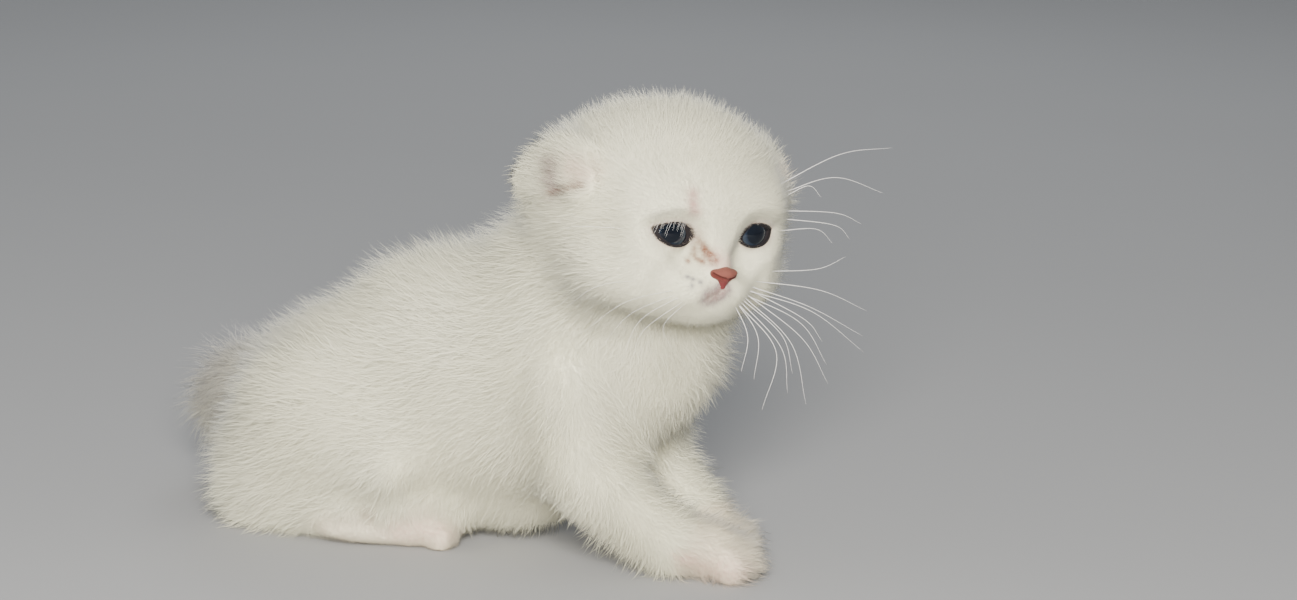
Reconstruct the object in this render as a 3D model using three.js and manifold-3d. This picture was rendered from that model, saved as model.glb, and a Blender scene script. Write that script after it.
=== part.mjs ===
// A Scottish fold kitten of about four weeks, life size, in millimetres.
// It sits back on its haunches, front legs braced forward, head turned to its right. X points ahead of
// the body, Y to the kitten's left and Z up. Every surface is the outer surface of the coat.
import * as THREE from "three";
import Module from "manifold-3d";
import { mergeVertices } from "three/addons/utils/BufferGeometryUtils.js";

// Driving sizes
const GAP = 0.3; // between neighbouring parts
const BODY_BLEND = 9; // how softly one part of the body flows into the next
const HEAD_CENTRE = [29.5, -2.8, 89.1];
const HEAD_TURN = { yaw: -34.4, pitch: -3, roll: -5.6 }; // degrees
const SKULL_RADII = [31, 34.8, 28.6];
const EYE_RADIUS = 7.2;
const EYE_FORWARD = 17.6;
const EYE_ASIDE = 11.6;
const EYE_OUTWARD_TURN = 9; // degrees that each eye looks outward
const LID_THICKNESS = 1.1;
const LID_SHARE = 1.22; // the bare rim of the lids, as a share of the eye's opening
const NOSTRIL_RADIUS = 0.55;
const LIP_LINE_RADIUS = 0.5;
const EAR_THICKNESS = 2.4;
const EAR_TAPER = 0.45; // the share of its thickness that the ear loses from root to edge
const TAIL_ROOT_RADIUS = 11;
const TAIL_TIP_RADIUS = 5.5;
const FRONT_PAW = { half: [10.8, 8.6, 7], toe: [4.5, 2.9, 4] };
const HIND_PAW = { half: [9.5, 7.6, 6.4], toe: [3.9, 2.6, 3.5] };
const TOE_BLEND = 1.8;
const FLOOR_SIDE = 600;
const COARSE_SHARE = 0.45; // how fine a coarse wrap is, beside the part's own

const wasm = await Module();
wasm.setup();

const DEGREE = Math.PI / 180;
const SIDES = [
  { side: "left", sign: 1 },
  { side: "right", sign: -1 },
];

// Solids and meshes

function solid(geometry) {
  const bare = new THREE.BufferGeometry();
  bare.setAttribute("position", geometry.getAttribute("position").clone());
  if (geometry.index) bare.setIndex(geometry.index.clone());
  const merged = mergeVertices(bare, 1e-4);
  const made = new wasm.Manifold(
    new wasm.Mesh({
      numProp: 3,
      vertProperties: new Float32Array(merged.attributes.position.array),
      triVerts: new Uint32Array(merged.index.array),
    }),
  );
  return made;
}

// The largest closed surface of a solid, as a geometry.
function largest(made) {
  const pieces = made.decompose().sort((a, b) => b.volume() - a.volume());
  const net = pieces[0].getMesh();
  const geometry = new THREE.BufferGeometry();
  const points = new Float32Array(net.numVert * 3);
  for (let i = 0; i < net.numVert; i++) {
    points.set(net.vertProperties.subarray(i * net.numProp, i * net.numProp + 3), i * 3);
  }
  geometry.setAttribute("position", new THREE.BufferAttribute(points, 3));
  geometry.setIndex(new THREE.BufferAttribute(new Uint32Array(net.triVerts), 1));
  return geometry;
}

// Soft forms: each is a function of x, y, z that is negative inside, and about the distance outside

function lump(centre, radii, turn = [0, 0, 0]) {
  const euler = new THREE.Euler(...turn.map((a) => a * DEGREE), "ZYX");
  const m = new THREE.Matrix3().setFromMatrix4(new THREE.Matrix4().makeRotationFromEuler(euler)).elements;
  const [a, b, c] = radii;
  return (x, y, z) => {
    const dx = x - centre[0];
    const dy = y - centre[1];
    const dz = z - centre[2];
    const px = (m[0] * dx + m[1] * dy + m[2] * dz) / a;
    const py = (m[3] * dx + m[4] * dy + m[5] * dz) / b;
    const pz = (m[6] * dx + m[7] * dy + m[8] * dz) / c;
    const near = Math.hypot(px, py, pz);
    const slope = Math.hypot(px / a, py / b, pz / c);
    return slope < 1e-9 ? -Math.min(a, b, c) : (near * (near - 1)) / slope;
  };
}

function limb(from, to, fromRadius, toRadius) {
  const axis = to.map((v, i) => v - from[i]);
  const square = axis.reduce((sum, v) => sum + v * v, 0);
  return (x, y, z) => {
    const p = [x - from[0], y - from[1], z - from[2]];
    const along = (p[0] * axis[0] + p[1] * axis[1] + p[2] * axis[2]) / square;
    const t = Math.min(1, Math.max(0, along));
    const away = Math.hypot(p[0] - axis[0] * t, p[1] - axis[1] * t, p[2] - axis[2] * t);
    return away - (fromRadius + (toRadius - fromRadius) * t);
  };
}

// From one side of a paw to the other, through its middle.
function acrossPaw([x, y, z], turn, { half }) {
  const reach = half[1] * 0.75;
  const aside = [-Math.sin(turn * DEGREE) * reach, Math.cos(turn * DEGREE) * reach];
  return line([x - aside[0], y - aside[1], z], [x + aside[0], y + aside[1], z]);
}

function softMin(a, b, blend) {
  const h = Math.max(blend - Math.abs(a - b), 0) / blend;
  return Math.min(a, b) - (h * h * blend) / 4;
}

function joined(forms, blend) {
  return (x, y, z) => forms.reduce((value, form) => softMin(value, form(x, y, z), blend), 1e3);
}

function hollowed(form, dents, blend) {
  return (x, y, z) =>
    dents.reduce((value, dent) => -softMin(-value, dent(x, y, z), blend), form(x, y, z));
}

// The head's own frame: x to the nose, y to the kitten's left, z to the crown, from the skull's centre.
const headMatrix = new THREE.Matrix4().makeRotationFromEuler(
  new THREE.Euler(HEAD_TURN.roll * DEGREE, HEAD_TURN.pitch * DEGREE, HEAD_TURN.yaw * DEGREE, "ZYX"),
);
headMatrix.setPosition(...HEAD_CENTRE);
const headInverse = headMatrix.clone().invert();

function fromHead(x, y, z) {
  return new THREE.Vector3(x, y, z).applyMatrix4(headMatrix);
}

function inHead(form) {
  const e = headInverse.elements;
  return (x, y, z) =>
    form(
      e[0] * x + e[4] * y + e[8] * z + e[12],
      e[1] * x + e[5] * y + e[9] * z + e[13],
      e[2] * x + e[6] * y + e[10] * z + e[14],
    );
}

// A closed form wrapped on a field: rings of points leave a spine, square to it along its length and
// fanned out round its two ends, and each point stops where the field reaches `level`.
function wrapped({ field, spine, up = [0, 0, 1], sides, rings, ends = 0.4, crowd = (s) => s }, level = 0) {
  const geometry = new THREE.SphereGeometry(1, sides, rings);
  geometry.deleteAttribute("normal");
  geometry.deleteAttribute("uv");
  const round = mergeVertices(geometry, 1e-5);
  const place = round.attributes.position;
  const upward = new THREE.Vector3(...up);
  for (let i = 0; i < place.count; i++) {
    const d = new THREE.Vector3().fromBufferAttribute(place, i).normalize();
    const share = crowd(Math.asin(THREE.MathUtils.clamp(d.y, -1, 1)) / (Math.PI / 2));
    const inner = 1 - ends;
    const t = THREE.MathUtils.clamp((share / inner + 1) / 2, 0, 1);
    const fan = (Math.sign(share) * Math.max(0, Math.abs(share) - inner) * 90 * DEGREE) / ends;
    const origin = spine.getPoint(t);
    const tangent = spine.getTangent(t);
    const across = new THREE.Vector3().crossVectors(upward, tangent).normalize();
    const over = new THREE.Vector3().crossVectors(tangent, across);
    const angle = Math.atan2(d.z, d.x);
    const out = across.multiplyScalar(Math.cos(angle)).addScaledVector(over, Math.sin(angle));
    out.multiplyScalar(Math.cos(fan)).addScaledVector(tangent, Math.sin(fan));
    const reach = reachOf(field, origin, out, level);
    place.setXYZ(i, ...origin.addScaledVector(out, reach).toArray());
  }
  const made = solid(round);
  return made.volume() < 0 ? solid(flipped(round)) : made;
}

function flipped(geometry) {
  const index = geometry.index.array;
  for (let i = 0; i < index.length; i += 3) {
    [index[i + 1], index[i + 2]] = [index[i + 2], index[i + 1]];
  }
  return geometry;
}

function reachOf(field, origin, out, level) {
  const at = (r) => field(origin.x + out.x * r, origin.y + out.y * r, origin.z + out.z * r) - level;
  let near = 0;
  let far = 0;
  let value = at(0);
  while (value < 0 && far < 200) {
    near = far;
    far += THREE.MathUtils.clamp(-value * 0.7, 0.2, 3);
    value = at(far);
  }
  for (let i = 0; i < 24; i++) {
    const half = (near + far) / 2;
    if (at(half) < 0) near = half;
    else far = half;
  }
  return (near + far) / 2;
}

function line(...points) {
  const places = points.map((p) => new THREE.Vector3(...p));
  return places.length === 2 ? new THREE.LineCurve3(...places) : new THREE.CatmullRomCurve3(places);
}

// The head

const cheeks = SIDES.map(({ sign }) => lump([9, 16 * sign, -11], [15, 13.8, 12]));
const muzzlePads = SIDES.map(({ sign }) => lump([22.6, 5.2 * sign, -13.4], [7.2, 6.2, 5.2]));
const brows = SIDES.map(({ sign }) => lump([16.5, 13 * sign, 7], [8, 9, 6]));
const eyeRims = SIDES.map(({ sign }) => lump([18.6, 13 * sign, -0.5], [6.4, 8.4, 7.4]));
const skull = joined(
  [
    lump([-2.5, 0, 4.5], SKULL_RADII),
    lump([5, 0, 8.5], [22, 28.3, 20.5]),
    ...cheeks,
    lump([9, 0, -15], [17, 16, 10.5]),
    ...brows,
    ...eyeRims,
  ],
  8,
);
const muzzle = joined(
  [
    lump([20, 0, -10.5], [10, 10.5, 8]),
    limb([17, 0, 2], [26.6, 0, -6.2], 6.8, 3.4),
    ...muzzlePads,
    lump([22.6, 0, -18.2], [5.4, 5.6, 4.2]),
  ],
  3.5,
);
const tearTroughs = SIDES.map(({ sign }) => lump([29, 8.6 * sign, -4.8], [3.8, 3, 3.2]));
const earHollows = SIDES.map(({ sign }) => lump([2, 33.6 * sign, 12], [5.5, 4.2, 4.6]));
const headForm = inHead(hollowed(hollowed(joined([skull, muzzle], 6), tearTroughs, 4), earHollows, 3));

// The rest of the body, each form as wide as its coat

const forms = {
  head: headForm,
  neck: joined(
    [
      limb([3, 0, 66], [20, -1, 82], 24.5, 22),
      lump([8, -1, 79], [21.5, 22, 20]),
      lump([26, 0, 69], [18, 20, 17]),
    ],
    8,
  ),
  torso: joined(
    [
      lump([-62, 0, 29], [30, 30, 28.5]),
      lump([-73, 0, 17], [22, 27, 17]),
      lump([-30, 0, 41.5], [38, 31, 37]),
      lump([-12, 0, 30], [34, 26.5, 28.6]),
      lump([2, 0, 50], [33, 28, 34.5]),
      lump([25.5, 1.5, 54.5], [22.6, 23, 25]),
    ],
    12,
  ),
  tail_base: limb([-76, 1, 37], [-97, 4, 30.5], 11, TAIL_ROOT_RADIUS),
  tail_middle: limb([-102.5, 5, 29.5], [-107.5, 7, 20], TAIL_ROOT_RADIUS, 10),
  tail_tip: joined(
    [
      limb([-104.8, 9, 15], [-97.5, 16, 9.5], 9.8, 8),
      limb([-97.5, 16, 9.5], [-80, 26, 6], 8, TAIL_TIP_RADIUS),
    ],
    6,
  ),
};

const legs = {
  right: {
    shoulder: [12, -18, 48],
    elbow: [17, -20, 25.2],
    wrist: [40, -14, 9.5],
    paw: [50, -11.5, 6.2],
    pawTurn: 8,
    knee: [-36, -26, 21],
    hip: [-60, -22, 29],
    hock: [-57, -26, 7],
    hindPaw: [-28, -22, 6],
    hindTurn: -2,
  },
  left: {
    shoulder: [11, 18, 48],
    elbow: [14, 18, 27],
    wrist: [35, 11, 11],
    paw: [45.5, 9.5, 6.2],
    pawTurn: 4,
    knee: [-36, 26, 21],
    hip: [-60, 22, 29],
    hock: [-57, 27, 7],
    hindPaw: [-26, 27, 6],
    hindTurn: 6,
  },
};

// A paw of one main lump and four toes, pointing ahead and turned about Z.
function pawForm(centre, turn, { half, toe }) {
  const c = Math.cos(turn * DEGREE);
  const s = Math.sin(turn * DEGREE);
  const place = (x, y, z) => [centre[0] + x * c - y * s, centre[1] + x * s + y * c, centre[2] + z];
  const toes = [-1.5, -0.5, 0.5, 1.5].map((step) => {
    const ahead = half[0] * (0.74 - 0.13 * step * step);
    const tip = place(ahead, step * half[1] * 0.56, -half[2] * 0.28);
    return lump(tip, toe, [0, 0, turn + step * 9]);
  });
  const heel = lump(place(-half[0] * 0.2, 0, 0), [half[0] * 0.95, half[1] * 0.9, half[2]], [0, 0, turn]);
  return joined([heel, ...toes], TOE_BLEND);
}

for (const { side } of SIDES) {
  const leg = legs[side];
  forms[`front_upper_leg_${side}`] = limb(leg.shoulder, leg.elbow, 14.5, 12);
  forms[`front_lower_leg_${side}`] = limb(leg.elbow, leg.wrist, 12, 9.2);
  forms[`front_paw_${side}`] = pawForm(leg.paw, leg.pawTurn, FRONT_PAW);
  const buttock = [leg.hip[0] - 14.5, leg.hip[1], 9.5];
  forms[`thigh_${side}`] = joined(
    [lump(leg.hip, [26, 15, 24]), limb(leg.hip, leg.knee, 15, 11.5), lump(buttock, [21, 17, 15])],
    8,
  );
  const heel = [leg.hock[0], leg.hock[1], 6];
  const shank = limb(leg.knee, leg.hock, 9.5, 7.5);
  forms[`hind_lower_leg_${side}`] = joined([shank, limb(heel, leg.hindPaw, 7, 6.6)], 5);
  forms[`hind_paw_${side}`] = pawForm(leg.hindPaw, leg.hindTurn, HIND_PAW);
}

// How each part is wrapped, which parts it flows into, and how far it may reach beyond its own form.
// A part gives way to every part above it in this list. Parts that only lie against the head keep a
// little clearance beside the gap, from a coarser wrap of it.
const build = [
  {
    name: "head",
    into: ["neck"],
    margin: 1.2,
    clearance: 0.8,
    sides: 40,
    rings: 30,
    spine: line(fromHead(0, 0, 0).toArray(), fromHead(0.31, 0, -0.1).toArray()),
    ends: 0.999,
    crowd: (s) => (s > 0 ? 1 - Math.pow(1 - s, 1.45) : s),
  },
];
for (const { side } of SIDES) {
  const leg = legs[side];
  build.push(
    {
      name: `front_paw_${side}`,
      into: [`front_lower_leg_${side}`],
      margin: 0.8,
      blend: 4,
      sides: 12,
      rings: 15,
      spine: acrossPaw(leg.paw, leg.pawTurn, FRONT_PAW),
      ends: 0.3,
    },
    {
      name: `hind_paw_${side}`,
      into: [`hind_lower_leg_${side}`],
      margin: 0.8,
      blend: 4,
      sides: 12,
      rings: 15,
      spine: acrossPaw(leg.hindPaw, leg.hindTurn, HIND_PAW),
      ends: 0.3,
    },
    {
      name: `front_upper_leg_${side}`,
      into: ["torso", `front_lower_leg_${side}`],
      margin: 2,
      sides: 14,
      rings: 8,
      up: [1, 0, 0],
      spine: line(leg.shoulder, leg.elbow),
      ends: 0.7,
    },
    {
      name: `front_lower_leg_${side}`,
      into: [`front_upper_leg_${side}`, `front_paw_${side}`],
      margin: 2,
      sides: 14,
      rings: 9,
      spine: line(leg.elbow, leg.wrist),
      ends: 0.5,
    },
    {
      name: `thigh_${side}`,
      into: ["torso", `hind_lower_leg_${side}`],
      margin: 2,
      sides: 18,
      rings: 13,
      spine: line(leg.hip, leg.knee),
      ends: 0.7,
    },
    {
      name: `hind_lower_leg_${side}`,
      into: [`thigh_${side}`, `hind_paw_${side}`, "torso"],
      margin: 1,
      blend: 5,
      sides: 12,
      rings: 9,
      spine: line([leg.hock[0], leg.hock[1], 8], [leg.knee[0] + 2, leg.knee[1], 9]),
      ends: 0.5,
    },
  );
}
build.push(
  {
    name: "tail_tip",
    into: ["tail_middle"],
    blend: 4,
    margin: 0.6,
    sides: 12,
    rings: 10,
    spine: line([-99, 14, 11], [-84, 24, 6.5]),
    ends: 0.5,
  },
  {
    name: "tail_middle",
    into: ["tail_base", "tail_tip"],
    blend: 4,
    margin: 0.8,
    sides: 12,
    rings: 9,
    spine: line([-103, 5, 30.5], [-107, 7, 21]),
    ends: 0.5,
  },
  {
    name: "tail_base",
    into: ["torso", "tail_middle"],
    blend: 6,
    margin: 1.5,
    sides: 12,
    rings: 8,
    spine: line([-78, 1, 38], [-97, 4, 33.5]),
    ends: 0.6,
  },
  {
    name: "neck",
    into: ["head", "torso"],
    margin: 2.5,
    sides: 18,
    rings: 9,
    up: [0, 1, 0],
    spine: line([10, 0, 68], [22, -1, 80]),
    ends: 0.8,
  },
  {
    name: "torso",
    into: ["neck", "tail_base", "thigh_left", "thigh_right", "front_upper_leg_left", "front_upper_leg_right"],
    margin: 8,
    sides: 24,
    rings: 19,
    spine: line([-62, 0, 30], [-32, 0, 42], [8, 0, 50]),
    ends: 0.6,
  },
);

function fieldOf({ name, into, margin, blend = BODY_BLEND }) {
  const own = forms[name];
  const flesh = joined([own, ...into.map((other) => forms[other])], blend);
  return (x, y, z) => Math.max(flesh(x, y, z), own(x, y, z) - margin);
}

// Eyes: a ball with its cornea, and the almond opening between the lids

function eyeFrame(sign) {
  const turn = new THREE.Matrix4().makeRotationZ(EYE_OUTWARD_TURN * sign * DEGREE);
  turn.setPosition(EYE_FORWARD, EYE_ASIDE * sign, -0.4);
  return headMatrix.clone().multiply(turn);
}

function eyeball(radius) {
  const cornea = { radius: radius * 0.66, forward: radius * 0.46 };
  const meet = Math.acos(
    (cornea.forward ** 2 + radius ** 2 - cornea.radius ** 2) / (2 * cornea.forward * radius),
  );
  const profile = [];
  const steps = 7;
  for (let i = 0; i <= steps; i++) {
    const a = meet + ((Math.PI - meet) * (steps - i)) / steps;
    profile.push(new THREE.Vector2(i === 0 ? 0 : radius * Math.sin(a), radius * Math.cos(a)));
  }
  const edge = Math.atan2(radius * Math.sin(meet), radius * Math.cos(meet) - cornea.forward);
  for (let i = 3; i >= 0; i--) {
    const a = (edge * i) / 4;
    const wide = i === 0 ? 0 : cornea.radius * Math.sin(a);
    profile.push(new THREE.Vector2(wide, cornea.forward + cornea.radius * Math.cos(a)));
  }
  const turned = new THREE.LatheGeometry(profile, 18);
  return turned.rotateZ(-Math.PI / 2);
}

// The opening of one eye, `grow` times its true size, as a prism that looks out along the eye's axis.
function almond(sign, grow = 1) {
  const [inner, outer] = [-5.8 * sign * grow, 5.6 * sign * grow];
  const shape = new THREE.Shape();
  shape.moveTo(inner, -1.4 * grow);
  shape.bezierCurveTo(inner * 0.6, 3.4 * grow, outer * 0.52, 4.6 * grow, outer, grow);
  shape.bezierCurveTo(outer * 0.85, -4.2 * grow, inner * 0.44, -5.2 * grow, inner, -1.4 * grow);
  const prism = new THREE.ExtrudeGeometry(shape, { depth: 14, bevelEnabled: false, curveSegments: 7 });
  return prism.rotateX(Math.PI / 2).rotateZ(Math.PI / 2);
}

// Nose leather with two comma nostrils

const noseForm = inHead(
  joined(
    [
      lump([30.2, 0, -8.2], [2.7, 3.3, 1.9]),
      ...SIDES.map(({ sign }) => lump([29.2, 2.3 * sign, -8.8], [2.4, 1.7, 1.5])),
      lump([29.8, 0, -10.4], [2, 1.3, 1.9]),
    ],
    1.2,
  ),
);
const noseWrap = {
  field: noseForm,
  spine: line(fromHead(29.2, -0.2, -9).toArray(), fromHead(29.2, 0.2, -9).toArray()),
  sides: 14,
  rings: 11,
  ends: 0.98,
};

function nostril(sign) {
  const path = line(
    fromHead(33.6, 0.9 * sign, -9.6).toArray(),
    fromHead(30.9, 1.6 * sign, -9.3).toArray(),
    fromHead(29.8, 3 * sign, -8.6).toArray(),
  );
  return solid(groove(path, NOSTRIL_RADIUS, 6, 3));
}

// A round-sectioned tube along a curve.
function groove(path, radius, steps, sides) {
  const section = new THREE.Shape();
  section.absarc(0, 0, radius, 0, Math.PI * 2);
  return new THREE.ExtrudeGeometry(section, {
    extrudePath: path,
    steps,
    curveSegments: sides,
    bevelEnabled: false,
  });
}

// The point of the head's surface in a direction from a point inside it, both in the head's frame.
function onHead(x, y, z) {
  const origin = fromHead(6, 0, -8);
  const out = fromHead(x, y, z).sub(origin).normalize();
  return origin.clone().addScaledVector(out, reachOf(headForm, origin, out, 0));
}

function mouthLine() {
  const lip = [
    [22, -11, -17],
    [27, -7.2, -15.7],
    [30, -3.2, -15.1],
    [30.5, 0, -13.8],
    [30, 3.2, -15.1],
    [27, 7.2, -15.7],
    [22, 11, -17],
  ];
  const path = new THREE.CatmullRomCurve3(lip.map((p) => onHead(...p)));
  const cleft = new THREE.CatmullRomCurve3([onHead(30, 0, -14), onHead(30, 0, -12.6), onHead(30, 0, -11.2)]);
  return [solid(groove(path, LIP_LINE_RADIUS, 14, 3)), solid(groove(cleft, LIP_LINE_RADIUS, 4, 3))];
}

// A folded ear: a thin shell from its root on the skull, over the crest of the fold, down to the tip

const EAR_ROOT = [
  [14, 24, 13.5],
  [8, 25, 17],
  [-1, 26, 19],
  [-8, 26, 18],
  [-13, 25, 15],
  [-16, 24, 11],
  [-17, 25, 6],
];
const EAR_CREST = [
  [15.6, 27.8, 15.6],
  [10, 30, 19.9],
  [1, 31.8, 21.5],
  [-6.5, 32.4, 20.4],
  [-13.5, 33.2, 16.9],
  [-18.8, 34.4, 12.4],
  [-18.4, 33.4, 7.2],
];
const EAR_EDGE = [
  [15, 29.4, 12.8],
  [12.6, 32.4, 10],
  [8, 34.8, 7.8],
  [1.6, 35.4, 14.8],
  [-1.2, 36, 8.6],
  [-4.6, 35.8, 6.6],
  [-12, 34, 4.8],
];

function earShell(sign) {
  const curves = [EAR_ROOT, EAR_CREST, EAR_EDGE].map(
    (points) => new THREE.CatmullRomCurve3(points.map(([x, y, z]) => new THREE.Vector3(x, y * sign, z))),
  );
  const across = 14;
  const along = 7;
  const centre = (u, v) => {
    const [root, crest, edge] = curves.map((curve) => curve.getPoint(u));
    const pull = crest.multiplyScalar(2).sub(root.clone().add(edge).multiplyScalar(0.5));
    return new THREE.QuadraticBezierCurve3(root, pull, edge).getPoint(v);
  };
  const sheet = (u, v, face) => {
    const step = 0.02;
    const du = centre(Math.min(1, u + step), v).sub(centre(Math.max(0, u - step), v));
    const dv = centre(u, Math.min(1, v + step)).sub(centre(u, Math.max(0, v - step)));
    const normal = du.cross(dv).normalize();
    const taper = 1 - EAR_TAPER * v * v;
    return centre(u, v).addScaledVector(normal, (face * EAR_THICKNESS * taper) / 2);
  };
  const points = [];
  const faces = [];
  for (const face of [1, -1]) {
    for (let i = 0; i <= across; i++) {
      for (let j = 0; j <= along; j++) points.push(...sheet(i / across, j / along, face).toArray());
    }
  }
  const rows = along + 1;
  const layer = rows * (across + 1);
  const id = (face, i, j) => face * layer + i * rows + j;
  const quad = (a, b, c, d) => faces.push(a, b, c, a, c, d);
  for (let i = 0; i < across; i++) {
    for (let j = 0; j < along; j++) {
      quad(id(0, i, j), id(0, i + 1, j), id(0, i + 1, j + 1), id(0, i, j + 1));
      faces.push(id(1, i, j), id(1, i + 1, j + 1), id(1, i + 1, j));
      faces.push(id(1, i, j), id(1, i, j + 1), id(1, i + 1, j + 1));
    }
    quad(id(0, i, 0), id(1, i, 0), id(1, i + 1, 0), id(0, i + 1, 0));
    quad(id(0, i, along), id(0, i + 1, along), id(1, i + 1, along), id(1, i, along));
  }
  for (let j = 0; j < along; j++) {
    quad(id(0, 0, j), id(0, 0, j + 1), id(1, 0, j + 1), id(1, 0, j));
    quad(id(0, across, j), id(1, across, j), id(1, across, j + 1), id(0, across, j + 1));
  }
  const shell = new THREE.BufferGeometry();
  shell.setAttribute("position", new THREE.BufferAttribute(new Float32Array(points), 3));
  shell.setIndex(faces);
  shell.applyMatrix4(headMatrix);
  const made = solid(shell);
  return made.volume() < 0 ? solid(flipped(shell)) : made;
}

// Materials

const finish = (color, roughness) => new THREE.MeshStandardMaterial({ color, roughness, metalness: 0 });
const coat = finish(0xf1ede2, 0.9);
const innerEar = finish(0xf0d9cc, 0.85);
const eyeGlass = finish(0x1b2430, 0.05);
const noseLeather = finish(0xd98a7c, 0.5);

// Assembly

const floor = new THREE.BoxGeometry(FLOOR_SIDE, FLOOR_SIDE, FLOOR_SIDE);
const underFloor = solid(floor.translate(0, 0, -FLOOR_SIDE / 2));
const made = new Map();
const claimed = []; // each part already made, and all it may fill, both grown by the gap

for (const part of build) {
  const wrap = { ...part, field: fieldOf(part) };
  let body = wrapped(wrap, 0);
  for (const { into, reach, skin } of claimed) {
    body = body.subtract(into.includes(part.name) ? reach : skin);
  }
  made.set(part.name, body.subtract(underFloor));
  const { sides, rings, clearance = 0 } = part;
  const fineness = clearance ? COARSE_SHARE : 1;
  const coarse = { ...wrap, sides: Math.round(sides * fineness), rings: Math.round(rings * fineness) };
  claimed.push({
    into: part.into,
    skin: wrapped(coarse, GAP + clearance),
    reach: wrapped({ ...part, field: forms[part.name] }, part.margin + GAP),
  });
}

const grownHead = wrapped({ ...build[0], field: fieldOf(build[0]) }, GAP);
let head = made.get("head");
for (const { side, sign } of SIDES) {
  const frame = eyeFrame(sign);
  const lid = new THREE.SphereGeometry(EYE_RADIUS + LID_THICKNESS, 18, 12).applyMatrix4(frame);
  head = head.subtract(solid(almond(sign, LID_SHARE).applyMatrix4(frame)));
  head = head.add(solid(lid));
  head = head.subtract(solid(eyeball(EYE_RADIUS + GAP).applyMatrix4(frame)));
  head = head.subtract(solid(almond(sign).applyMatrix4(frame)));
  made.set(`eye_${side}`, solid(eyeball(EYE_RADIUS).applyMatrix4(frame)));
}
head = head.subtract(wrapped(noseWrap, GAP));
for (const cut of mouthLine()) head = head.subtract(cut);
made.set("head", head);

let nose = wrapped(noseWrap, 0);
for (const { sign } of SIDES) nose = nose.subtract(nostril(sign));
made.set("nose", nose);

for (const { side, sign } of SIDES) {
  made.set(`ear_${side}`, earShell(sign).subtract(grownHead));
}

const materialOf = (name) => {
  if (name.startsWith("eye_")) return eyeGlass;
  if (name.startsWith("ear_")) return innerEar;
  return name === "nose" ? noseLeather : coat;
};

const kitten = new THREE.Group();
for (const [name, body] of made) {
  const mesh = new THREE.Mesh(largest(body), materialOf(name));
  mesh.name = name;
  kitten.add(mesh);
}

// The origin is on the floor, under the middle of the whole kitten.
const box = new THREE.Box3().setFromObject(kitten);
const middle = box.getCenter(new THREE.Vector3());
kitten.position.set(-middle.x, -middle.y, -box.min.z);

export default kitten;
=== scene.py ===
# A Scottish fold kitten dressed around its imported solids: skin, coat, ears, eyes, nose and whiskers, in a
# plain studio. Lengths are millimetres here and become metres as each mesh is made.
import math

import bmesh
import bpy
import numpy as np
from mathutils import Matrix, Vector
from mathutils.bvhtree import BVHTree
from mathutils.kdtree import KDTree


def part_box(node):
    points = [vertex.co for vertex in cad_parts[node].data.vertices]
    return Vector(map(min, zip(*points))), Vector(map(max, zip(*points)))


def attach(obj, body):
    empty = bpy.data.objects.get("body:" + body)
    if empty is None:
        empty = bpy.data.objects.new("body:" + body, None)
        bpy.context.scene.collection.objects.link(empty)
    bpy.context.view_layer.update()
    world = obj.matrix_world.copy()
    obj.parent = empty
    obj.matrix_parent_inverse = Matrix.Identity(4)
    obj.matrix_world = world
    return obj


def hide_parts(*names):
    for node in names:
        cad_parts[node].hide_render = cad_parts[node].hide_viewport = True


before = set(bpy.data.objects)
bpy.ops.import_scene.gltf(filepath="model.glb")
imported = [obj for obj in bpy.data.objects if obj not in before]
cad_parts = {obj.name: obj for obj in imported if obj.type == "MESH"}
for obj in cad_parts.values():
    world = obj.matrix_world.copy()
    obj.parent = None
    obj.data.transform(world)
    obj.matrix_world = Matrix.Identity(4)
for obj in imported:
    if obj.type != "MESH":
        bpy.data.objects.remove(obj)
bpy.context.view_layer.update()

MM = 0.001
rng = np.random.default_rng(11)
SIDES = {"left": 1, "right": -1}

# The head's own frame: x to the nose, y to the kitten's left, z to the crown

HEAD_YAW, HEAD_PITCH, HEAD_ROLL = -34.4, -3.0, -5.6  # degrees
EYE_FORWARD, EYE_ASIDE, EYE_UP = 17.6, 11.6, -0.4
EYE_OUTWARD_TURN = 9  # degrees


def turn(axis, degrees):
    return np.array(Matrix.Rotation(math.radians(degrees), 3, axis))


def middle_of(node):
    low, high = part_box(node)
    return np.array((low + high) / 2) / MM


HEAD_AXES = turn("Z", HEAD_YAW) @ turn("Y", HEAD_PITCH) @ turn("X", HEAD_ROLL)
EYES_MIDDLE = (middle_of("eye_left") + middle_of("eye_right")) / 2
HEAD_CENTRE = EYES_MIDDLE - HEAD_AXES @ (EYE_FORWARD, 0, EYE_UP)


def to_head(points):
    return (np.asarray(points, float) - HEAD_CENTRE) @ HEAD_AXES


def from_head(points):
    return np.asarray(points, float) @ HEAD_AXES.T + HEAD_CENTRE


def unit(vectors):
    vectors = np.asarray(vectors, float)
    return vectors / np.maximum(np.linalg.norm(vectors, axis=-1, keepdims=True), 1e-9)


def size_of(vectors):
    return np.linalg.norm(vectors, axis=-1)


def ramp(value, low, high):
    """0 below low, 1 above high, and smooth between them."""
    t = np.clip((value - low) / (high - low), 0, 1)
    return t * t * (3 - 2 * t)


def falloff(away, radius):
    """1 at no distance, fading to 0 well beyond the radius."""
    return np.exp(-((away / radius) ** 2))


# Soft forms in the head's frame: each is negative inside and about the distance outside


def lump(centre, radii):
    centre, radii = np.array(centre, float), np.array(radii, float)

    def form(p):
        q = (p - centre) / radii
        near = size_of(q)
        slope = size_of(q / radii)
        return near * (near - 1) / np.maximum(slope, 1e-9)

    return form


def limb(start, end, start_radius, end_radius):
    start, axis = np.array(start, float), np.subtract(end, start).astype(float)

    def form(p):
        t = np.clip((p - start) @ axis / (axis @ axis), 0, 1)
        away = size_of(p - start - t[:, None] * axis)
        return away - (start_radius + (end_radius - start_radius) * t)

    return form


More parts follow.
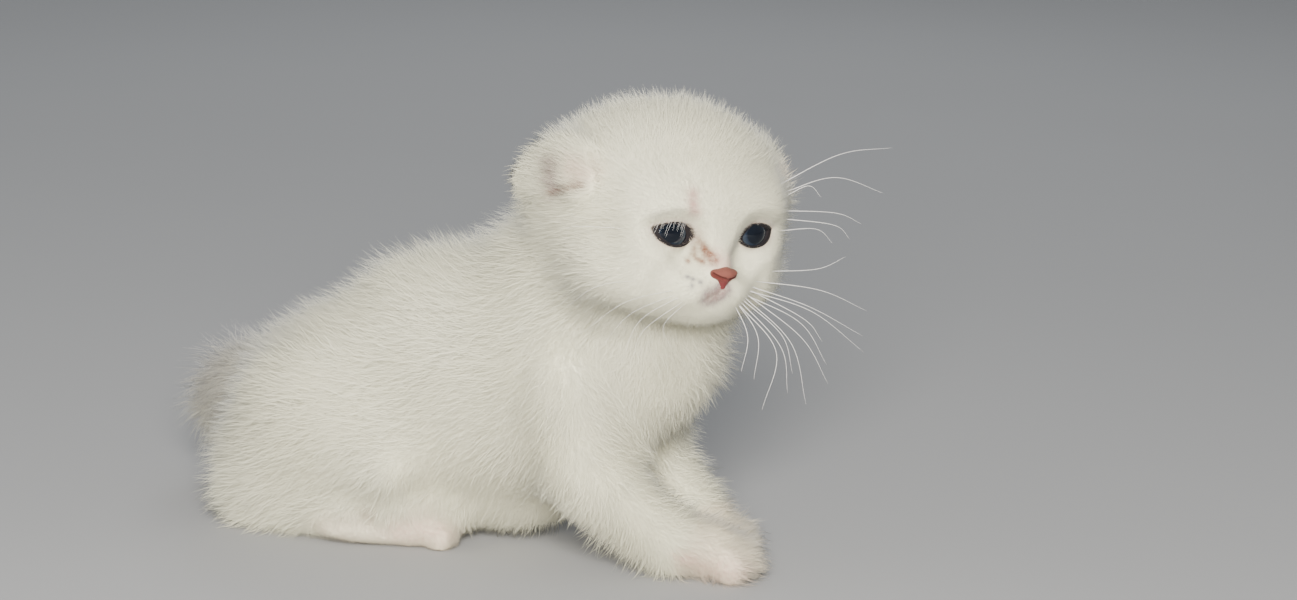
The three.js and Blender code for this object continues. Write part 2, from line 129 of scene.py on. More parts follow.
def soft_min(a, b, blend):
    h = np.maximum(blend - np.abs(a - b), 0) / blend
    return np.minimum(a, b) - h * h * blend / 4


def joined(forms, blend):
    def form(p):
        value = forms[0](p)
        for other in forms[1:]:
            value = soft_min(value, other(p), blend)
        return value

    return form


def hollowed(body, dents, blend):
    def form(p):
        value = body(p)
        for dent in dents:
            value = -soft_min(-value, dent(p), blend)
        return value

    return form


def both(make):
    return [make(sign) for sign in SIDES.values()]


skull = joined(
    [
        lump([-2.5, 0, 4.5], [31, 34.8, 28.6]),
        lump([5, 0, 8.5], [22, 28.3, 20.5]),
        *both(lambda s: lump([9, 16 * s, -11], [15, 13.8, 12])),
        lump([9, 0, -15], [17, 16, 10.5]),
        *both(lambda s: lump([16.5, 13 * s, 7], [8, 9, 6])),
        *both(lambda s: lump([18.6, 13 * s, -0.5], [6.4, 8.4, 7.4])),
        *both(lambda s: lump([-14, 22 * s, -3], [11.5, 9.8, 13])),
    ],
    8,
)
muzzle = joined(
    [
        lump([20, 0, -10.5], [10, 10.5, 8]),
        limb([17, 0, 2], [26.6, 0, -6.2], 6.8, 3.4),
        *both(lambda s: lump([22.6, 5.2 * s, -13.4], [7.2, 6.2, 5.2])),
        lump([22.0, 0.6, -17.4], [5.4, 6.2, 4.2]),
    ],
    3.5,
)
tear_troughs = both(lambda s: lump([29, 8.6 * s, -4.8], [3.8, 3, 3.2]))
head_form = hollowed(joined([skull, muzzle], 6), tear_troughs, 4)


def slope_of(form, p):
    step = 0.05
    columns = []
    for axis in np.eye(3):
        columns.append((form(p + axis * step) - form(p - axis * step)) / (2 * step))
    return np.stack(columns, axis=1)


def settled(form, p, level, rounds=5):
    """The points moved along the form's slope until it reads level there."""
    for _ in range(rounds):
        slope = slope_of(form, p)
        miss = form(p) - level
        step = miss[:, None] * slope / np.maximum((slope**2).sum(1), 0.05)[:, None]
        p = p - np.clip(step, -3, 3)
    return p


# Meshes


def new_mesh(name, points, faces, materials=()):
    """An object from points in millimetres and faces that all have the same number of corners."""
    faces = np.asarray(faces, np.int32)
    mesh = bpy.data.meshes.new(name)
    mesh.vertices.add(len(points))
    mesh.vertices.foreach_set("co", (np.asarray(points, np.float32) * MM).ravel())
    mesh.loops.add(faces.size)
    mesh.loops.foreach_set("vertex_index", faces.ravel())
    mesh.polygons.add(len(faces))
    mesh.polygons.foreach_set("loop_start", np.arange(len(faces), dtype=np.int32) * faces.shape[1])
    mesh.update(calc_edges=True)
    mesh.polygons.foreach_set("use_smooth", np.ones(len(faces), bool))
    for material in materials:
        mesh.materials.append(material)
    obj = bpy.data.objects.new(name, mesh)
    bpy.context.scene.collection.objects.link(obj)
    return obj


def rows_of(items, field, width, kind=np.float32):
    """What each of a mesh's items holds, in rows of this width."""
    values = np.empty(len(items) * width, kind)
    items.foreach_get(field, values)
    return values.reshape(-1, width)


def normals_of(points, triangles):
    a, b, c = (points[triangles[:, i]] for i in range(3))
    flat = np.cross(b - a, c - a)
    total = np.zeros_like(points)
    for i in range(3):
        for axis in range(3):
            total[:, axis] += np.bincount(triangles[:, i], flat[:, axis], len(points))
    return unit(total)


def edges_of(triangles):
    pairs = np.concatenate([triangles[:, [0, 1]], triangles[:, [1, 2]], triangles[:, [2, 0]]])
    return np.unique(np.sort(pairs, axis=1), axis=0)


def spread(values, edges, rounds, share=0.5):
    """Each point's values drawn towards its neighbours', again and again; share may be one per point."""
    values = np.array(values, float)
    flat = values.reshape(len(values), -1)
    count = np.bincount(edges.ravel(), minlength=len(values))
    share = np.broadcast_to(np.asarray(share, float).reshape(-1, 1), (len(values), 1))
    for _ in range(rounds):
        mean = np.empty_like(flat)
        for k in range(flat.shape[1]):
            column = flat[:, k]
            mean[:, k] = np.bincount(edges[:, 0], column[edges[:, 1]], len(values))
            mean[:, k] += np.bincount(edges[:, 1], column[edges[:, 0]], len(values))
        mean /= np.maximum(count, 1)[:, None]
        flat = flat + (mean - flat) * share
    return flat.reshape(values.shape)


def triangles_of(mesh):
    """A mesh's points in millimetres and its triangles, with doubled points made one."""
    mesh.calc_loop_triangles()
    places = rows_of(mesh.vertices, "co", 3).astype(float) / MM
    points, first = np.unique(np.round(places, 4), axis=0, return_inverse=True)
    triangles = first.ravel()[rows_of(mesh.loop_triangles, "vertices", 3, np.int32)]
    a, b, c = triangles.T
    return points, triangles[(a != b) & (b != c) & (c != a)]


def joined_meshes(parts):
    """One mesh of several, each given as points and triangles."""
    starts = np.cumsum([0] + [len(points) for points, _ in parts])
    points = np.concatenate([points for points, _ in parts])
    return points, np.concatenate([triangles + start for (_, triangles), start in zip(parts, starts)])


def grid_quads(index):
    corners = (index[:-1, :-1], index[1:, :-1], index[1:, 1:], index[:-1, 1:])
    return np.stack([c.ravel() for c in corners], axis=1)


def halved(quads):
    """Each face of four corners as two triangles."""
    return np.concatenate([quads[:, [0, 1, 2]], quads[:, [0, 2, 3]]])


def outward_facing(points, triangles):
    a, b, c = (points[triangles[:, i]] for i in range(3))
    inside_out = (a * np.cross(b, c)).sum() < 0
    return points, triangles[:, ::-1] if inside_out else triangles


def taken(bm):
    """The points and triangles of a working mesh, which is then freed."""
    points = np.array([v.co for v in bm.verts])
    triangles = np.array([[v.index for v in f.verts] for f in bm.faces])
    bm.free()
    return points, triangles


def icosphere(steps):
    """A ball of radius 1, as points and triangles."""
    bm = bmesh.new()
    bmesh.ops.create_icosphere(bm, subdivisions=steps, radius=1)
    return taken(bm)


# Ears: each a folded sheet from its root on the skull, over the crest of the fold, down to its edge

EAR_ROOT = [
    (14, 24, 13.5),
    (8, 25, 17),
    (-1, 26, 19),
    (-8, 26, 18),
    (-13, 25, 15),
    (-16, 24, 11),
    (-17, 25, 6),
]
EAR_CREST = [
    (15.2, 27.2, 14.8),
    (10, 28.8, 18.8),
    (1, 30.6, 20.4),
    (-6.5, 31.2, 19.2),
    (-13.2, 32.0, 15.8),
    (-18.0, 33.2, 11.8),
    (-17.6, 32.4, 7.4),
]
EAR_EDGE = [
    (15, 28.4, 12.8),
    (12.6, 31.4, 10),
    (8, 33.6, 7.8),
    (1.6, 34.2, 14.4),
    (-1.2, 34.8, 8.6),
    (-4.6, 34.6, 6.6),
    (-12, 33.0, 4.8),
]
CREST_LEVELS = (-3.2, -2.3, -1.4, -0.6, 0.4, 1.6, 1.8)  # above the head's form
EDGE_LEVELS = (-3.4, -3.0, -2.7, -2.8, -2.7, -2.5, -1.8)
EAR_HALF = 0.9  # of its thickness at the root
EDGE_THINNER = 0.35  # share of that which is missing at the edge
SHELL_THICKER = 0.35  # on each side, before it is drawn in
EAR_STEPS = (110, 56)  # along the root, and from the root to the edge
EAR_BLEND = 4.0


def through(places, t):
    """A smooth curve through places, at t from 0 to 1."""
    places = np.array(places, float)
    places = np.concatenate([[2 * places[0] - places[1]], places, [2 * places[-1] - places[-2]]])
    at = np.clip(np.asarray(t) * (len(places) - 3), 0, len(places) - 3 - 1e-9)
    i = at.astype(int)
    f = (at - i)[:, None]
    a, b, c, d = (places[i + k] for k in range(4))
    return 0.5 * (2 * b + (c - a) * f + (2 * a - 5 * b + 4 * c - d) * f**2 + (3 * b - a - 3 * c + d) * f**3)


def tree_of(places):
    tree = KDTree(len(places))
    for i, place in enumerate(places.tolist()):
        tree.insert(place, i)
    tree.balance()
    return tree


class Ear:
    """The middle of an ear in the head's frame: its places, the way out to its edge and its outer side."""

    def __init__(self, side):
        self.sign = SIDES[side]
        u, v = (np.linspace(0, 1, steps) for steps in EAR_STEPS)
        crest = settled(head_form, np.array(EAR_CREST, float), np.array(CREST_LEVELS))
        edge = settled(head_form, np.array(EAR_EDGE, float), np.array(EDGE_LEVELS))
        root, crest, edge = (through(line, u)[:, None] for line in (EAR_ROOT, crest, edge))
        t = v[None, :, None]
        pull = 2 * crest - (root + edge) / 2
        self.sheet = (root * (1 - t) ** 2 + 2 * pull * t * (1 - t) + edge * t**2) * (1, SIDES[side], 1)
        along, outward = np.gradient(self.sheet, axis=(0, 1))
        outer = np.cross(outward, along) * SIDES[side]
        self.half = np.tile(EAR_HALF * (1 - EDGE_THINNER * v**2), EAR_STEPS[0])
        self.outward, self.outer = unit(outward).reshape(-1, 3), unit(outer).reshape(-1, 3)
        self.tree = tree_of(self.sheet.reshape(-1, 3))

    def nearest(self, p):
        found = [self.tree.find(place) for place in p.tolist()]
        return np.array([f[1] for f in found]), np.array([f[2] for f in found])

    def form(self, p):
        nearest, away = self.nearest(p)
        return away - self.half[nearest]

    def beside(self, p, reach):
        """Which points are nearer to the ear than this."""
        some = np.flatnonzero((p[:, 1] * self.sign > 14) & (p[:, 2] > -4) & (p[:, 0] < 24))
        return some[self.form(p[some]) < reach]

    def on_head(self, p):
        """The ear and the skin of the head as one soft form."""
        return soft_min(head_form(p) + SETTINGS[HEAD, DEPTH], self.form(p), EAR_BLEND)

    def shell(self):
        """The ear as a closed shell, a little thicker than it will be."""
        half = (self.half + SHELL_THICKER).reshape(*EAR_STEPS, 1)
        normal = self.outer.reshape(self.sheet.shape)
        layers = np.stack([self.sheet + normal * half, self.sheet - normal * half])
        index = np.arange(layers[..., 0].size).reshape(layers.shape[:3])
        rim = border(EAR_STEPS)
        ring = np.column_stack([index[0][rim], index[1][rim]])
        ahead = np.roll(ring, -1, axis=0)
        quads = [grid_quads(index[0]), grid_quads(index[1])[:, ::-1]]
        quads.append(np.column_stack([ring[:, 0], ring[:, 1], ahead[:, 1], ahead[:, 0]]))
        return outward_facing(from_head(layers.reshape(-1, 3)), halved(np.concatenate(quads)))


def border(steps):
    """The rows and columns of the places round a grid, in order."""
    rows, columns = (np.arange(n - 1) for n in steps)
    last_row, last_column = rows[-1] + 1, columns[-1] + 1
    row = [rows, columns * 0 + last_row, last_row - rows, columns * 0]
    column = [rows * 0, columns, rows * 0 + last_column, last_column - columns]
    return np.concatenate(row), np.concatenate(column)


# The skin: the solids of flesh grown into one surface, rounded, and let in by the depth of the coat

CLOSING = 1.0  # how far each solid is grown
VOXEL = 1.12
FLOOR_CLEARANCE = 0.3
PRESSED_SHARE = 0.15  # of the coat's depth that is left under the body

# Each region of the coat: hair length, angle off the skin in degrees, hair width, hairs per square
# millimetre, depth of the coat, how far the skin is rounded from 0 to 1, and the way that the coat lies
REGIONS = {
    "head": (3.7, 57, 0.11, 8.5, 3.4, 0.4, (0, 0, 0)),
    "neck": (6.2, 55, 0.13, 7, 4.6, 1, (-0.6, 0, -0.7)),
    "torso": (6.0, 56, 0.13, 7.4, 5.0, 1, (-1, 0, -0.35)),
    "tail_base": (6.4, 57, 0.13, 7.2, 4.5, 0.8, (-1, 0.15, -0.35)),
    "tail_middle": (7.0, 57, 0.13, 7.2, 4.4, 0.8, (-0.3, 0.15, -1)),
    "tail_tip": (6.4, 55, 0.12, 7, 3.0, 0.5, (0.6, 0.5, -0.25)),
    "front_upper_leg": (5.2, 54, 0.12, 7.2, 3.8, 0.9, (0.25, 0, -1)),
    "front_lower_leg": (4.4, 50, 0.11, 8, 2.4, 0.5, (0.85, 0.1, -0.6)),
    "front_paw": (3.6, 48, 0.1, 10, 1.0, 0.2, (1, 0, -0.15)),
    "thigh": (6.0, 56, 0.13, 7.2, 4.6, 1, (-0.95, 0, -0.4)),
    "hind_lower_leg": (3.2, 36, 0.1, 9, 2.0, 0.4, (1, 0, -0.1)),
    "hind_paw": (2.2, 34, 0.09, 12, 1.0, 0.15, (1, 0, -0.15)),
    "ear": (3.0, 40, 0.1, 12, 0.5, 0, (0, 0, 0)),
    "ear_inside": (1.8, 24, 0.08, 5, 0.3, 0, (0, 0, 0)),
}
LENGTH, LIFT, WIDTH, DENSITY, DEPTH, ROUNDING = range(6)
SETTINGS = np.array([values[:6] for values in REGIONS.values()], float)
WAYS = np.array([values[6] for values in REGIONS.values()], float)


def region_of(node):
    return next(i for i, name in enumerate(REGIONS) if node.startswith(name))


HEAD, EAR = region_of("head"), region_of("ear")
EAR_INSIDE = EAR + 1


def in_regions(shares, *names):
    """How much each point belongs to the named regions together."""
    return shares[:, [list(REGIONS).index(name) for name in names]].sum(1)


FLESH = [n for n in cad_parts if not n.startswith(("eye_", "nose"))]
flesh = {name: triangles_of(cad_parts[name].data) for name in FLESH}
ears = {side: Ear(side) for side in SIDES}


HALVINGS = 26  # of a ray's unknown stretch


def rayed(form, origin, reach, steps):
    """A form as one smooth closed surface: rays from inside it, each as long as the form allows."""
    ways, triangles = icosphere(steps)
    near, far = np.zeros(len(ways)), np.full(len(ways), float(reach))
    for _ in range(HALVINGS):
        half = (near + far) / 2
        inside = form(origin + ways * half[:, None]) < 0
        near, far = np.where(inside, half, near), np.where(inside, far, half)
    return from_head(origin + ways * near[:, None]), triangles


EAR_BED_DEPTH = 2.2


def under_ears(p):
    """The head, let in where the ears lie over it so that they keep clear of it."""
    away = np.hypot((p[:, 0] + 1) / 22, (p[:, 2] - 12) / 16)
    return head_form(p) + EAR_BED_DEPTH * (1 - ramp(away, 0.7, 1.1)) * ramp(np.abs(p[:, 1]), 16, 22)


def remeshed(points, triangles, voxel):
    """One closed surface round everything given, as points and triangles."""
    rough = new_mesh("rough", points, triangles)
    modifier = rough.modifiers.new("remesh", "REMESH")
    modifier.mode = "VOXEL"
    modifier.voxel_size = voxel * MM
    depsgraph = bpy.context.evaluated_depsgraph_get()
    made = bpy.data.meshes.new_from_object(rough.evaluated_get(depsgraph))
    bpy.data.objects.remove(rough)
    result = triangles_of(made)
    bpy.data.meshes.remove(made)
    return largest(*result)


def largest(points, triangles):
    """The part of a mesh that has the most points and hangs together."""
    edges = edges_of(triangles)
    label = np.arange(len(points))
    while True:
        low = np.minimum(label[edges[:, 0]], label[edges[:, 1]])
        new = label.copy()
        np.minimum.at(new, edges[:, 0], low)
        np.minimum.at(new, edges[:, 1], low)
        new = new[new]
        if (new == label).all():
            break
        label = new
    keep = label == np.bincount(label).argmax()
    place = np.cumsum(keep) - 1
    return points[keep], place[triangles[keep[triangles[:, 0]]]]


def refined(points, triangles, chosen):
    """The triangles whose points are all chosen are split in four, and their neighbours to match."""
    bm = bmesh.new()
    verts = [bm.verts.new(p) for p in points]
    for a, b, c in triangles:
        bm.faces.new((verts[a], verts[b], verts[c]))
    bm.verts.index_update()
    edges = [e for e in bm.edges if chosen[e.verts[0].index] and chosen[e.verts[1].index]]
    bmesh.ops.subdivide_edges(bm, edges=edges, cuts=1, use_grid_fill=True)
    bmesh.ops.triangulate(bm, faces=bm.faces)
    bm.verts.index_update()
    return taken(bm)


def ball(centre, radii, axes, steps=3):
    """A smooth egg as points and triangles, its radii along the columns of axes."""
    points, triangles = icosphere(steps)
    return points * radii @ axes.T + centre, triangles


# Paws: length, width and height of the whole, then of one toe, each as half sizes
PAW_SIZES = {
    "front_paw": ((11.2, 9.2, 8.0), (5.5, 4.0, 6.0)),
    "hind_paw": ((9.5, 6.8, 5.4), (4.6, 3.1, 4.7)),
}
PAW_SHARE = {"front_paw_left": 0.86}  # of those sizes, for a paw that looks smaller
PAW_TURNS = {
    "front_paw_right": 13,
    "front_paw_left": 4,
    "hind_paw_right": 26,
    "hind_paw_left": -20,
}  # degrees
# How far a paw is behind the front of its solid, and to the kitten's left of the middle of its solid
PAW_BACK = {"front_paw_left": 3.5, "hind_paw_right": -0.5, "hind_paw_left": -0.5}
PAW_ASIDE = {"front_paw_right": 2.5}
# As shares of the half sizes: how far the middle is behind the toes' middles and above the floor, how far
# back the body is and how large, and how far ahead, aside and down the toes are, the outer ones set back
MIDDLE_BACK, MIDDLE_UP = 0.71, 0.86
BODY_BACK, BODY_SIZE = 0.2, (0.98, 0.94, 1)
TOE_AHEAD, TOE_ASIDE, TOE_DOWN, TOE_SET_BACK = 0.76, 0.5, 0.3, 0.09
TOES = (-1.5, -0.5, 0.5, 1.5)  # steps from the middle of the paw
TOE_SPLAY = 9  # degrees from one toe to the next
HIND_FOOT = (16, 5.4, 4.7)  # half size, from the heel to the toes
HIND_FOOT_BACK = (12, 0, 0.2)  # and down, from the middle of the paw


def paw_balls(name):
    """The paw's forms: middle, half size and axes of its body, its four toes and, behind, its long foot."""
    kind = name.rsplit("_", 1)[0]
    half, toe = (np.array(size) * PAW_SHARE.get(name, 1) for size in PAW_SIZES[kind])
    low, high = (np.array(corner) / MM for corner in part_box(name))
    way = turn("Z", PAW_TURNS[name])
    front = high[0] - half[0] * MIDDLE_BACK - toe[0]
    centre = np.array([front, (low[1] + high[1]) / 2, half[2] * MIDDLE_UP])
    centre += (-PAW_BACK.get(name, 0), PAW_ASIDE.get(name, 0), 0)
    balls = [(centre - way @ (half[0] * BODY_BACK, 0, 0), half * BODY_SIZE, way)]
    for step in TOES:
        ahead = half[0] * (TOE_AHEAD - TOE_SET_BACK * step * step)
        place = np.array([ahead, step * half[1] * TOE_ASIDE, -half[2] * TOE_DOWN])
        balls.append((centre + way @ place, toe, way @ turn("Z", TOE_SPLAY * step)))
    if kind == "hind_paw":
        balls.append((centre - way @ HIND_FOOT_BACK, np.array(HIND_FOOT), way))
    return balls


# Flesh that fills the hollow over each hind foot and widens the haunch at the floor: middle and half size
OVER_FOOT = ((-9, 4, 10), (15, 10, 11))  # from the middle of the paw, inward
HAUNCH = ((-36, 22, 8.5), (27, 17, 10))


def haunch_balls(side):
    (centre, radii, axes), *_ = paw_balls(f"hind_paw_{side}")
    place, size = (np.array(v, float) for v in OVER_FOOT)
    yield centre + place * (1, -SIDES[side], 1), size, axes
    place, size = (np.array(v, float) for v in HAUNCH)
    yield place * (1, SIDES[side], 1), size, np.eye(3)


PAWS = [name for name in FLESH if name.rsplit("_", 1)[0] in PAW_SIZES]
PAW_REACH = 0.8  # how far outside a paw's forms the skin still belongs to it
INSIDE_HEAD = np.array([6.0, 0, -6])  # where the rays to the head's surface start


def flesh_surface():
    parts = [rayed(under_ears, INSIDE_HEAD, 60, 5)]
    parts += [ear.shell() for ear in ears.values()]
    parts += [ball(*shape) for side in SIDES for shape in haunch_balls(side)]
    for name, (points, triangles) in flesh.items():
        if name in PAWS:
            parts += [ball(*shape) for shape in paw_balls(name)]
        elif not name.startswith(("head", "ear")):
            parts.append((points + normals_of(points, triangles) * CLOSING, triangles))
    return remeshed(*joined_meshes(parts), VOXEL)


def shares_of(points, triangles, rounds):
    """How much each point belongs to each region, soft at the borders."""
    edges = edges_of(triangles)
    normals = normals_of(points, triangles) @ HEAD_AXES
    names = list(flesh)
    starts = np.cumsum([0] + [len(flesh[n][0]) for n in names])
    cloud = np.concatenate([flesh[n][0] for n in names])
    solids = np.concatenate([flesh[n][1] + start for n, start in zip(names, starts)])
    owner = np.concatenate([np.full(len(flesh[n][1]), region_of(n)) for n in names])
    tree = BVHTree.FromPolygons(cloud.tolist(), solids.tolist())
    owner = owner[np.array([tree.find_nearest(p)[2] for p in points.tolist()])]
    for name in PAWS:
        for centre, radii, axes in paw_balls(name):
            reach = lump((0, 0, 0), radii)((points - centre) @ axes)
            owner[reach < PAW_REACH] = region_of(name)
    for side, ear in ears.items():
        local = to_head(points)
        mine = np.flatnonzero((owner == EAR) & (local[:, 1] * SIDES[side] > 0))
        nearest, _ = ear.nearest(local[mine])
        within = (normals[mine] * ear.outer[nearest]).sum(1) < -0.1
        owner[mine[within]] = EAR_INSIDE
    return spread(np.eye(len(REGIONS))[owner], edges, rounds)


# Eyes: where they are, and the almond openings between the lids

BALL_RADIUS = 7.2
LID_RADIUS = 7.9
SOCKET_RADIUS = 6.0
OPENING = {"inner": 5.5, "outer": 5.7}
# The drawn eyes, beside the solid ones: nearer to each other, higher, and with the nose to the kitten's left
EYES_NEARER, EYES_RAISED, FACE_ASIDE = 0.35, 0.9, 0.9
GAZE_ASIDE, GAZE_UP = -7, 2  # degrees


def eye_axes(side):
    return turn("Z", EYE_OUTWARD_TURN * SIDES[side])


def eye_centre(side):
    aside = (EYE_ASIDE - EYES_NEARER) * SIDES[side] + FACE_ASIDE
    return np.array([EYE_FORWARD, aside, EYE_UP + EYES_RAISED])


def to_eye(side, points):
    """From the head's frame to an eye's own: x looks out, y to the kitten's left, z up."""
    return (points - eye_centre(side)) @ eye_axes(side)


def from_eye(side, points):
    return points @ eye_axes(side).T + eye_centre(side)


def bezier(a, b, c, d, steps):
    t = np.linspace(0, 1, steps, endpoint=False)[:, None]
    a, b, c, d = (np.array(p, float) for p in (a, b, c, d))
    return a * (1 - t) ** 3 + 3 * b * t * (1 - t) ** 2 + 3 * c * t * t * (1 - t) + d * t**3


def almond(side, steps=28):
    """The edge of the opening, as it is seen along the eye's axis: y and z of each point."""
    inner, outer = -OPENING["inner"] * SIDES[side], OPENING["outer"] * SIDES[side]
    upper = bezier((inner, -0.8), (inner * 0.95, 4.2), (outer * 0.45, 3.0), (outer, 1.2), steps)
    lower = bezier((outer, 1.2), (outer * 0.9, -2.8), (inner * 0.6, -5.1), (inner, -0.8), steps)
    return np.concatenate([upper, lower])


def beyond(outline, places):
    """Distance of flat points from a closed outline, negative inside it."""
    a, b = outline, np.roll(outline, -1, axis=0)
    ab = b - a
    ap = places[:, None] - a
    t = np.clip((ap * ab).sum(2) / (ab * ab).sum(1), 0, 1)
    away = size_of(ap - t[..., None] * ab).min(1)
    rises = (a[:, 1] > places[:, None, 1]) != (b[:, 1] > places[:, None, 1])
    with np.errstate(divide="ignore", invalid="ignore"):
        crossing = a[:, 0] + (places[:, None, 1] - a[:, 1]) * ab[:, 0] / ab[:, 1]
    inside = (rises & (places[:, None, 0] < crossing)).sum(1) % 2 == 1
    return np.where(inside, -away, away)


def near_line(points, line):
    """Distance of points from a line of several stretches."""
    line = np.array(line, float)
    away = np.full(len(points), 1e3)
    for start, end in zip(line[:-1], line[1:]):
        ab = end - start
        t = np.clip((points - start) @ ab / (ab @ ab), 0, 1)
        away = np.minimum(away, size_of(points - start - t[:, None] * ab))
    return away


LIP_LINE = [
    (28.0, -4.4, -15.7),
    (29.6, -2.0, -14.8),
    (30.2, 0.6, -13.6),
    (29.8, 3.2, -14.6),
    (28.4, 5.2, -15.4),
]
PHILTRUM = [(30.4, 0.6, -13.6), (30.6, 0.7, -11.6)]


def settled_line(line, level, pieces=6):
    """A line of more points, each on the head where its coat's depth is level."""
    line = np.array(line, float)
    t = np.linspace(0, len(line) - 1, (len(line) - 1) * pieces + 1)
    finer = np.stack([np.interp(t, np.arange(len(line)), line[:, k]) for k in range(3)], axis=1)
    return settled(head_form, finer, level)


def face_share(p):
    """1 on the short-haired face and 0 on the crown and cheeks, for points in the head's frame."""
    return ramp(p[:, 0], 9, 23) * (1 - ramp(p[:, 2], 7, 22)) * (1 - ramp(np.abs(p[:, 1]), 17, 27))


FACE_DEPTH = 0.9
MOUTH_DEPTH, MOUTH_WIDTH = 0.14, 0.55


def with_face(p):
    """The skin's points in the head's frame, with the eye openings and the mouth let in."""
    for side in SIDES:
        q = to_eye(side, p)
        near = (q[:, 0] > 0) & (size_of(q) < 14)
        away = beyond(almond(side), q[near][:, 1:])
        radius = SOCKET_RADIUS + (LID_RADIUS - 0.1 - SOCKET_RADIUS) * ramp(away, -0.4, 0.1)
        share = (1 - ramp(away, 0.7, 4.6))[:, None]
        q[near] = q[near] * (1 - share) + unit(q[near]) * radius[:, None] * share
        p = np.where(near[:, None], from_eye(side, q), p)
    inward = -unit(slope_of(head_form, p))
    for line in (LIP_LINE, PHILTRUM):
        away = near_line(p, settled_line(line, -FACE_DEPTH))
        p = p + inward * (MOUTH_DEPTH * falloff(away, MOUTH_WIDTH))[:, None]
    return p


# Rounds of smoothing: of the regions' shares, the body, its normals, what is let in, the neck and the paws
SHARE_ROUNDS, BODY_ROUNDS, NORMAL_ROUNDS, LET_IN_ROUNDS, NECK_ROUNDS, PAW_ROUNDS = 8, 45, 6, 10, 110, 30
EAR_ROUNDS = ((6, 0.5), (2, 0.35))  # with how strongly each
FINER_WITHIN = (24, 11)  # of the middle of the snout, once and then again
SNOUT_MIDDLE = (28, 0, -10)
FINER_AT_EYES = 12


def settle_on_ears(places, local, reach, rounds):
    """Moves those of the places that are near an ear onto the ear and the head's skin."""
    for ear in ears.values():
        beside = ear.beside(local, reach)
        places[beside] = settled(ear.on_head, local[beside], 0, rounds)


def let_in(points, triangles):
    """The surface rounded, let in by the coat's depth, and drawn to the head's form where the head is."""
    edges = edges_of(triangles)
    shares = shares_of(points, triangles, SHARE_ROUNDS)
    ear, paws = in_regions(shares, "ear", "ear_inside"), in_regions(shares, *PAW_SIZES)
    is_head = ramp(spread(shares[:, HEAD] + ear, edges, LET_IN_ROUNDS)[:, None], 0.25, 0.85)
    points = spread(points, edges, BODY_ROUNDS, 0.5 * (shares @ SETTINGS[:, ROUNDING]) * (1 - ear))
    normals = spread(normals_of(points, triangles), edges, NORMAL_ROUNDS)
    depth = shares @ SETTINGS[:, DEPTH]
    move = -unit(normals) * ((depth + CLOSING * (1 - paws)) * (1 - ramp(ear, 0, 0.3)))[:, None]
    pressed = ramp(-normals[:, 2], 0.05, 0.6) * (1 - ramp(points[:, 2], 4, 12))
    move[:, 2] *= 1 - (1 - PRESSED_SHARE) * pressed
    body = spread(points + move, edges, LET_IN_ROUNDS, 0.5 * (1 - 0.7 * paws) * (1 - ear))

    local = to_head(points)
    head = settled(head_form, local, -(depth + (FACE_DEPTH - depth) * face_share(local)))
    settle_on_ears(head, local, 8, 5)
    points = body * (1 - is_head) + from_head(head) * is_head
    points = spread(points, edges, NECK_ROUNDS, 2 * is_head[:, 0] * (1 - is_head[:, 0]) * (1 - ear))
    points = spread(points, edges, PAW_ROUNDS, 1.6 * paws * (1 - paws))
    points[:, 2] = np.maximum(points[:, 2], FLOOR_CLEARANCE)
    return points


def finer_at_face(points, triangles):
    """Smaller triangles round the muzzle, the eyes and the ears."""
    for reach in FINER_WITHIN:
        local = to_head(points)
        chosen = size_of(local - SNOUT_MIDDLE) < reach
        for side in SIDES:
            chosen |= size_of(to_eye(side, local)) < min(reach, FINER_AT_EYES)
        chosen &= local[:, 0] > 8
        if reach == FINER_WITHIN[0]:
            for ear in ears.values():
                chosen[ear.beside(local, 1)] = True
        points, triangles = refined(points, triangles, chosen)
    return points, triangles


def with_features(points, triangles):
    """The ears drawn to their sheets, and the face settled on its form and opened."""
    local = to_head(points)
    edges = edges_of(triangles)
    for rounds, share in EAR_ROUNDS:
        is_ear = np.zeros(len(local))
        for ear in ears.values():
            is_ear[ear.beside(local, 1.2)] = share
        local = spread(local, edges, rounds, is_ear)
        settle_on_ears(local, local, 3, 3)
    local = spread(local, edges, 2, is_ear)
    points = from_head(local)
    front = (local[:, 0] > 6) & (np.abs(local[:, 1]) < 28) & (size_of(local) < 45)
    level = -(SETTINGS[HEAD, DEPTH] + (FACE_DEPTH - SETTINGS[HEAD, DEPTH]) * face_share(local))
    share = (front * ramp(local[:, 0], 6, 12))[:, None]
    local = local * (1 - share) + settled(head_form, local, level) * share
    local[front] = with_face(local[front])
    return np.where(front[:, None], from_head(local), points)


def skin_surface():
    points, triangles = flesh_surface()
    points, triangles = finer_at_face(let_in(points, triangles), triangles)
    return with_features(points, triangles), triangles


# Markings and painted shade: bare pink skin, brown and grey, each from 0 to 1, the same on the skin and on
# the coat. Brown is a real stain on the face and painted shade on the ears and at a hock; grey is real on
# the lips, muzzle and brow, and painted shade over an upper lid, on the ears, at a hock and over the rump

TINTS = ("pink", "stain", "grey")
STAIN_LINE = [(26.0, -5.7, 1.4), (26.3, -4.7, -1.1), (27.5, -3.5, -3.4), (29.2, -2.1, -5.3)]
STAIN_FLECKS = [
    (24.7, -6.7, -6.3),
    (25.0, -5.6, -4.5),
    (26.1, -4.8, -5.6),
    (27.3, -4.0, -6.1),
    (25.1, -5.6, -2.9),
]
GREY_FLECKS = [(27.1, -7.9, -9.9), (28.0, -6.9, -10.3), (28.7, -7.5, -11.9), (29.1, -5.3, -10.9)]
BROW_LINE = [(27.4, -8.4, 10.7), (28.0, -8.8, 8.3), (27.7, -7.5, 5.8)]
# Over the right eye's upper lid: painted shade of the fur above it
UPPER_LID_SHADE_LINE = [(24.5, -17.0, 4.6), (26.5, -13.0, 5.6), (27.6, -9.0, 4.8)]
LIPS_LINE = [(29.1, -2.4, -14.4), (29.0, -0.7, -14.1), (29.3, 1.0, -12.8)]
BRIDGE_LINE = [(29.2, -1.2, -5.4), (30.3, 0.8, -6.6), (29.4, 3.6, -6.4)]
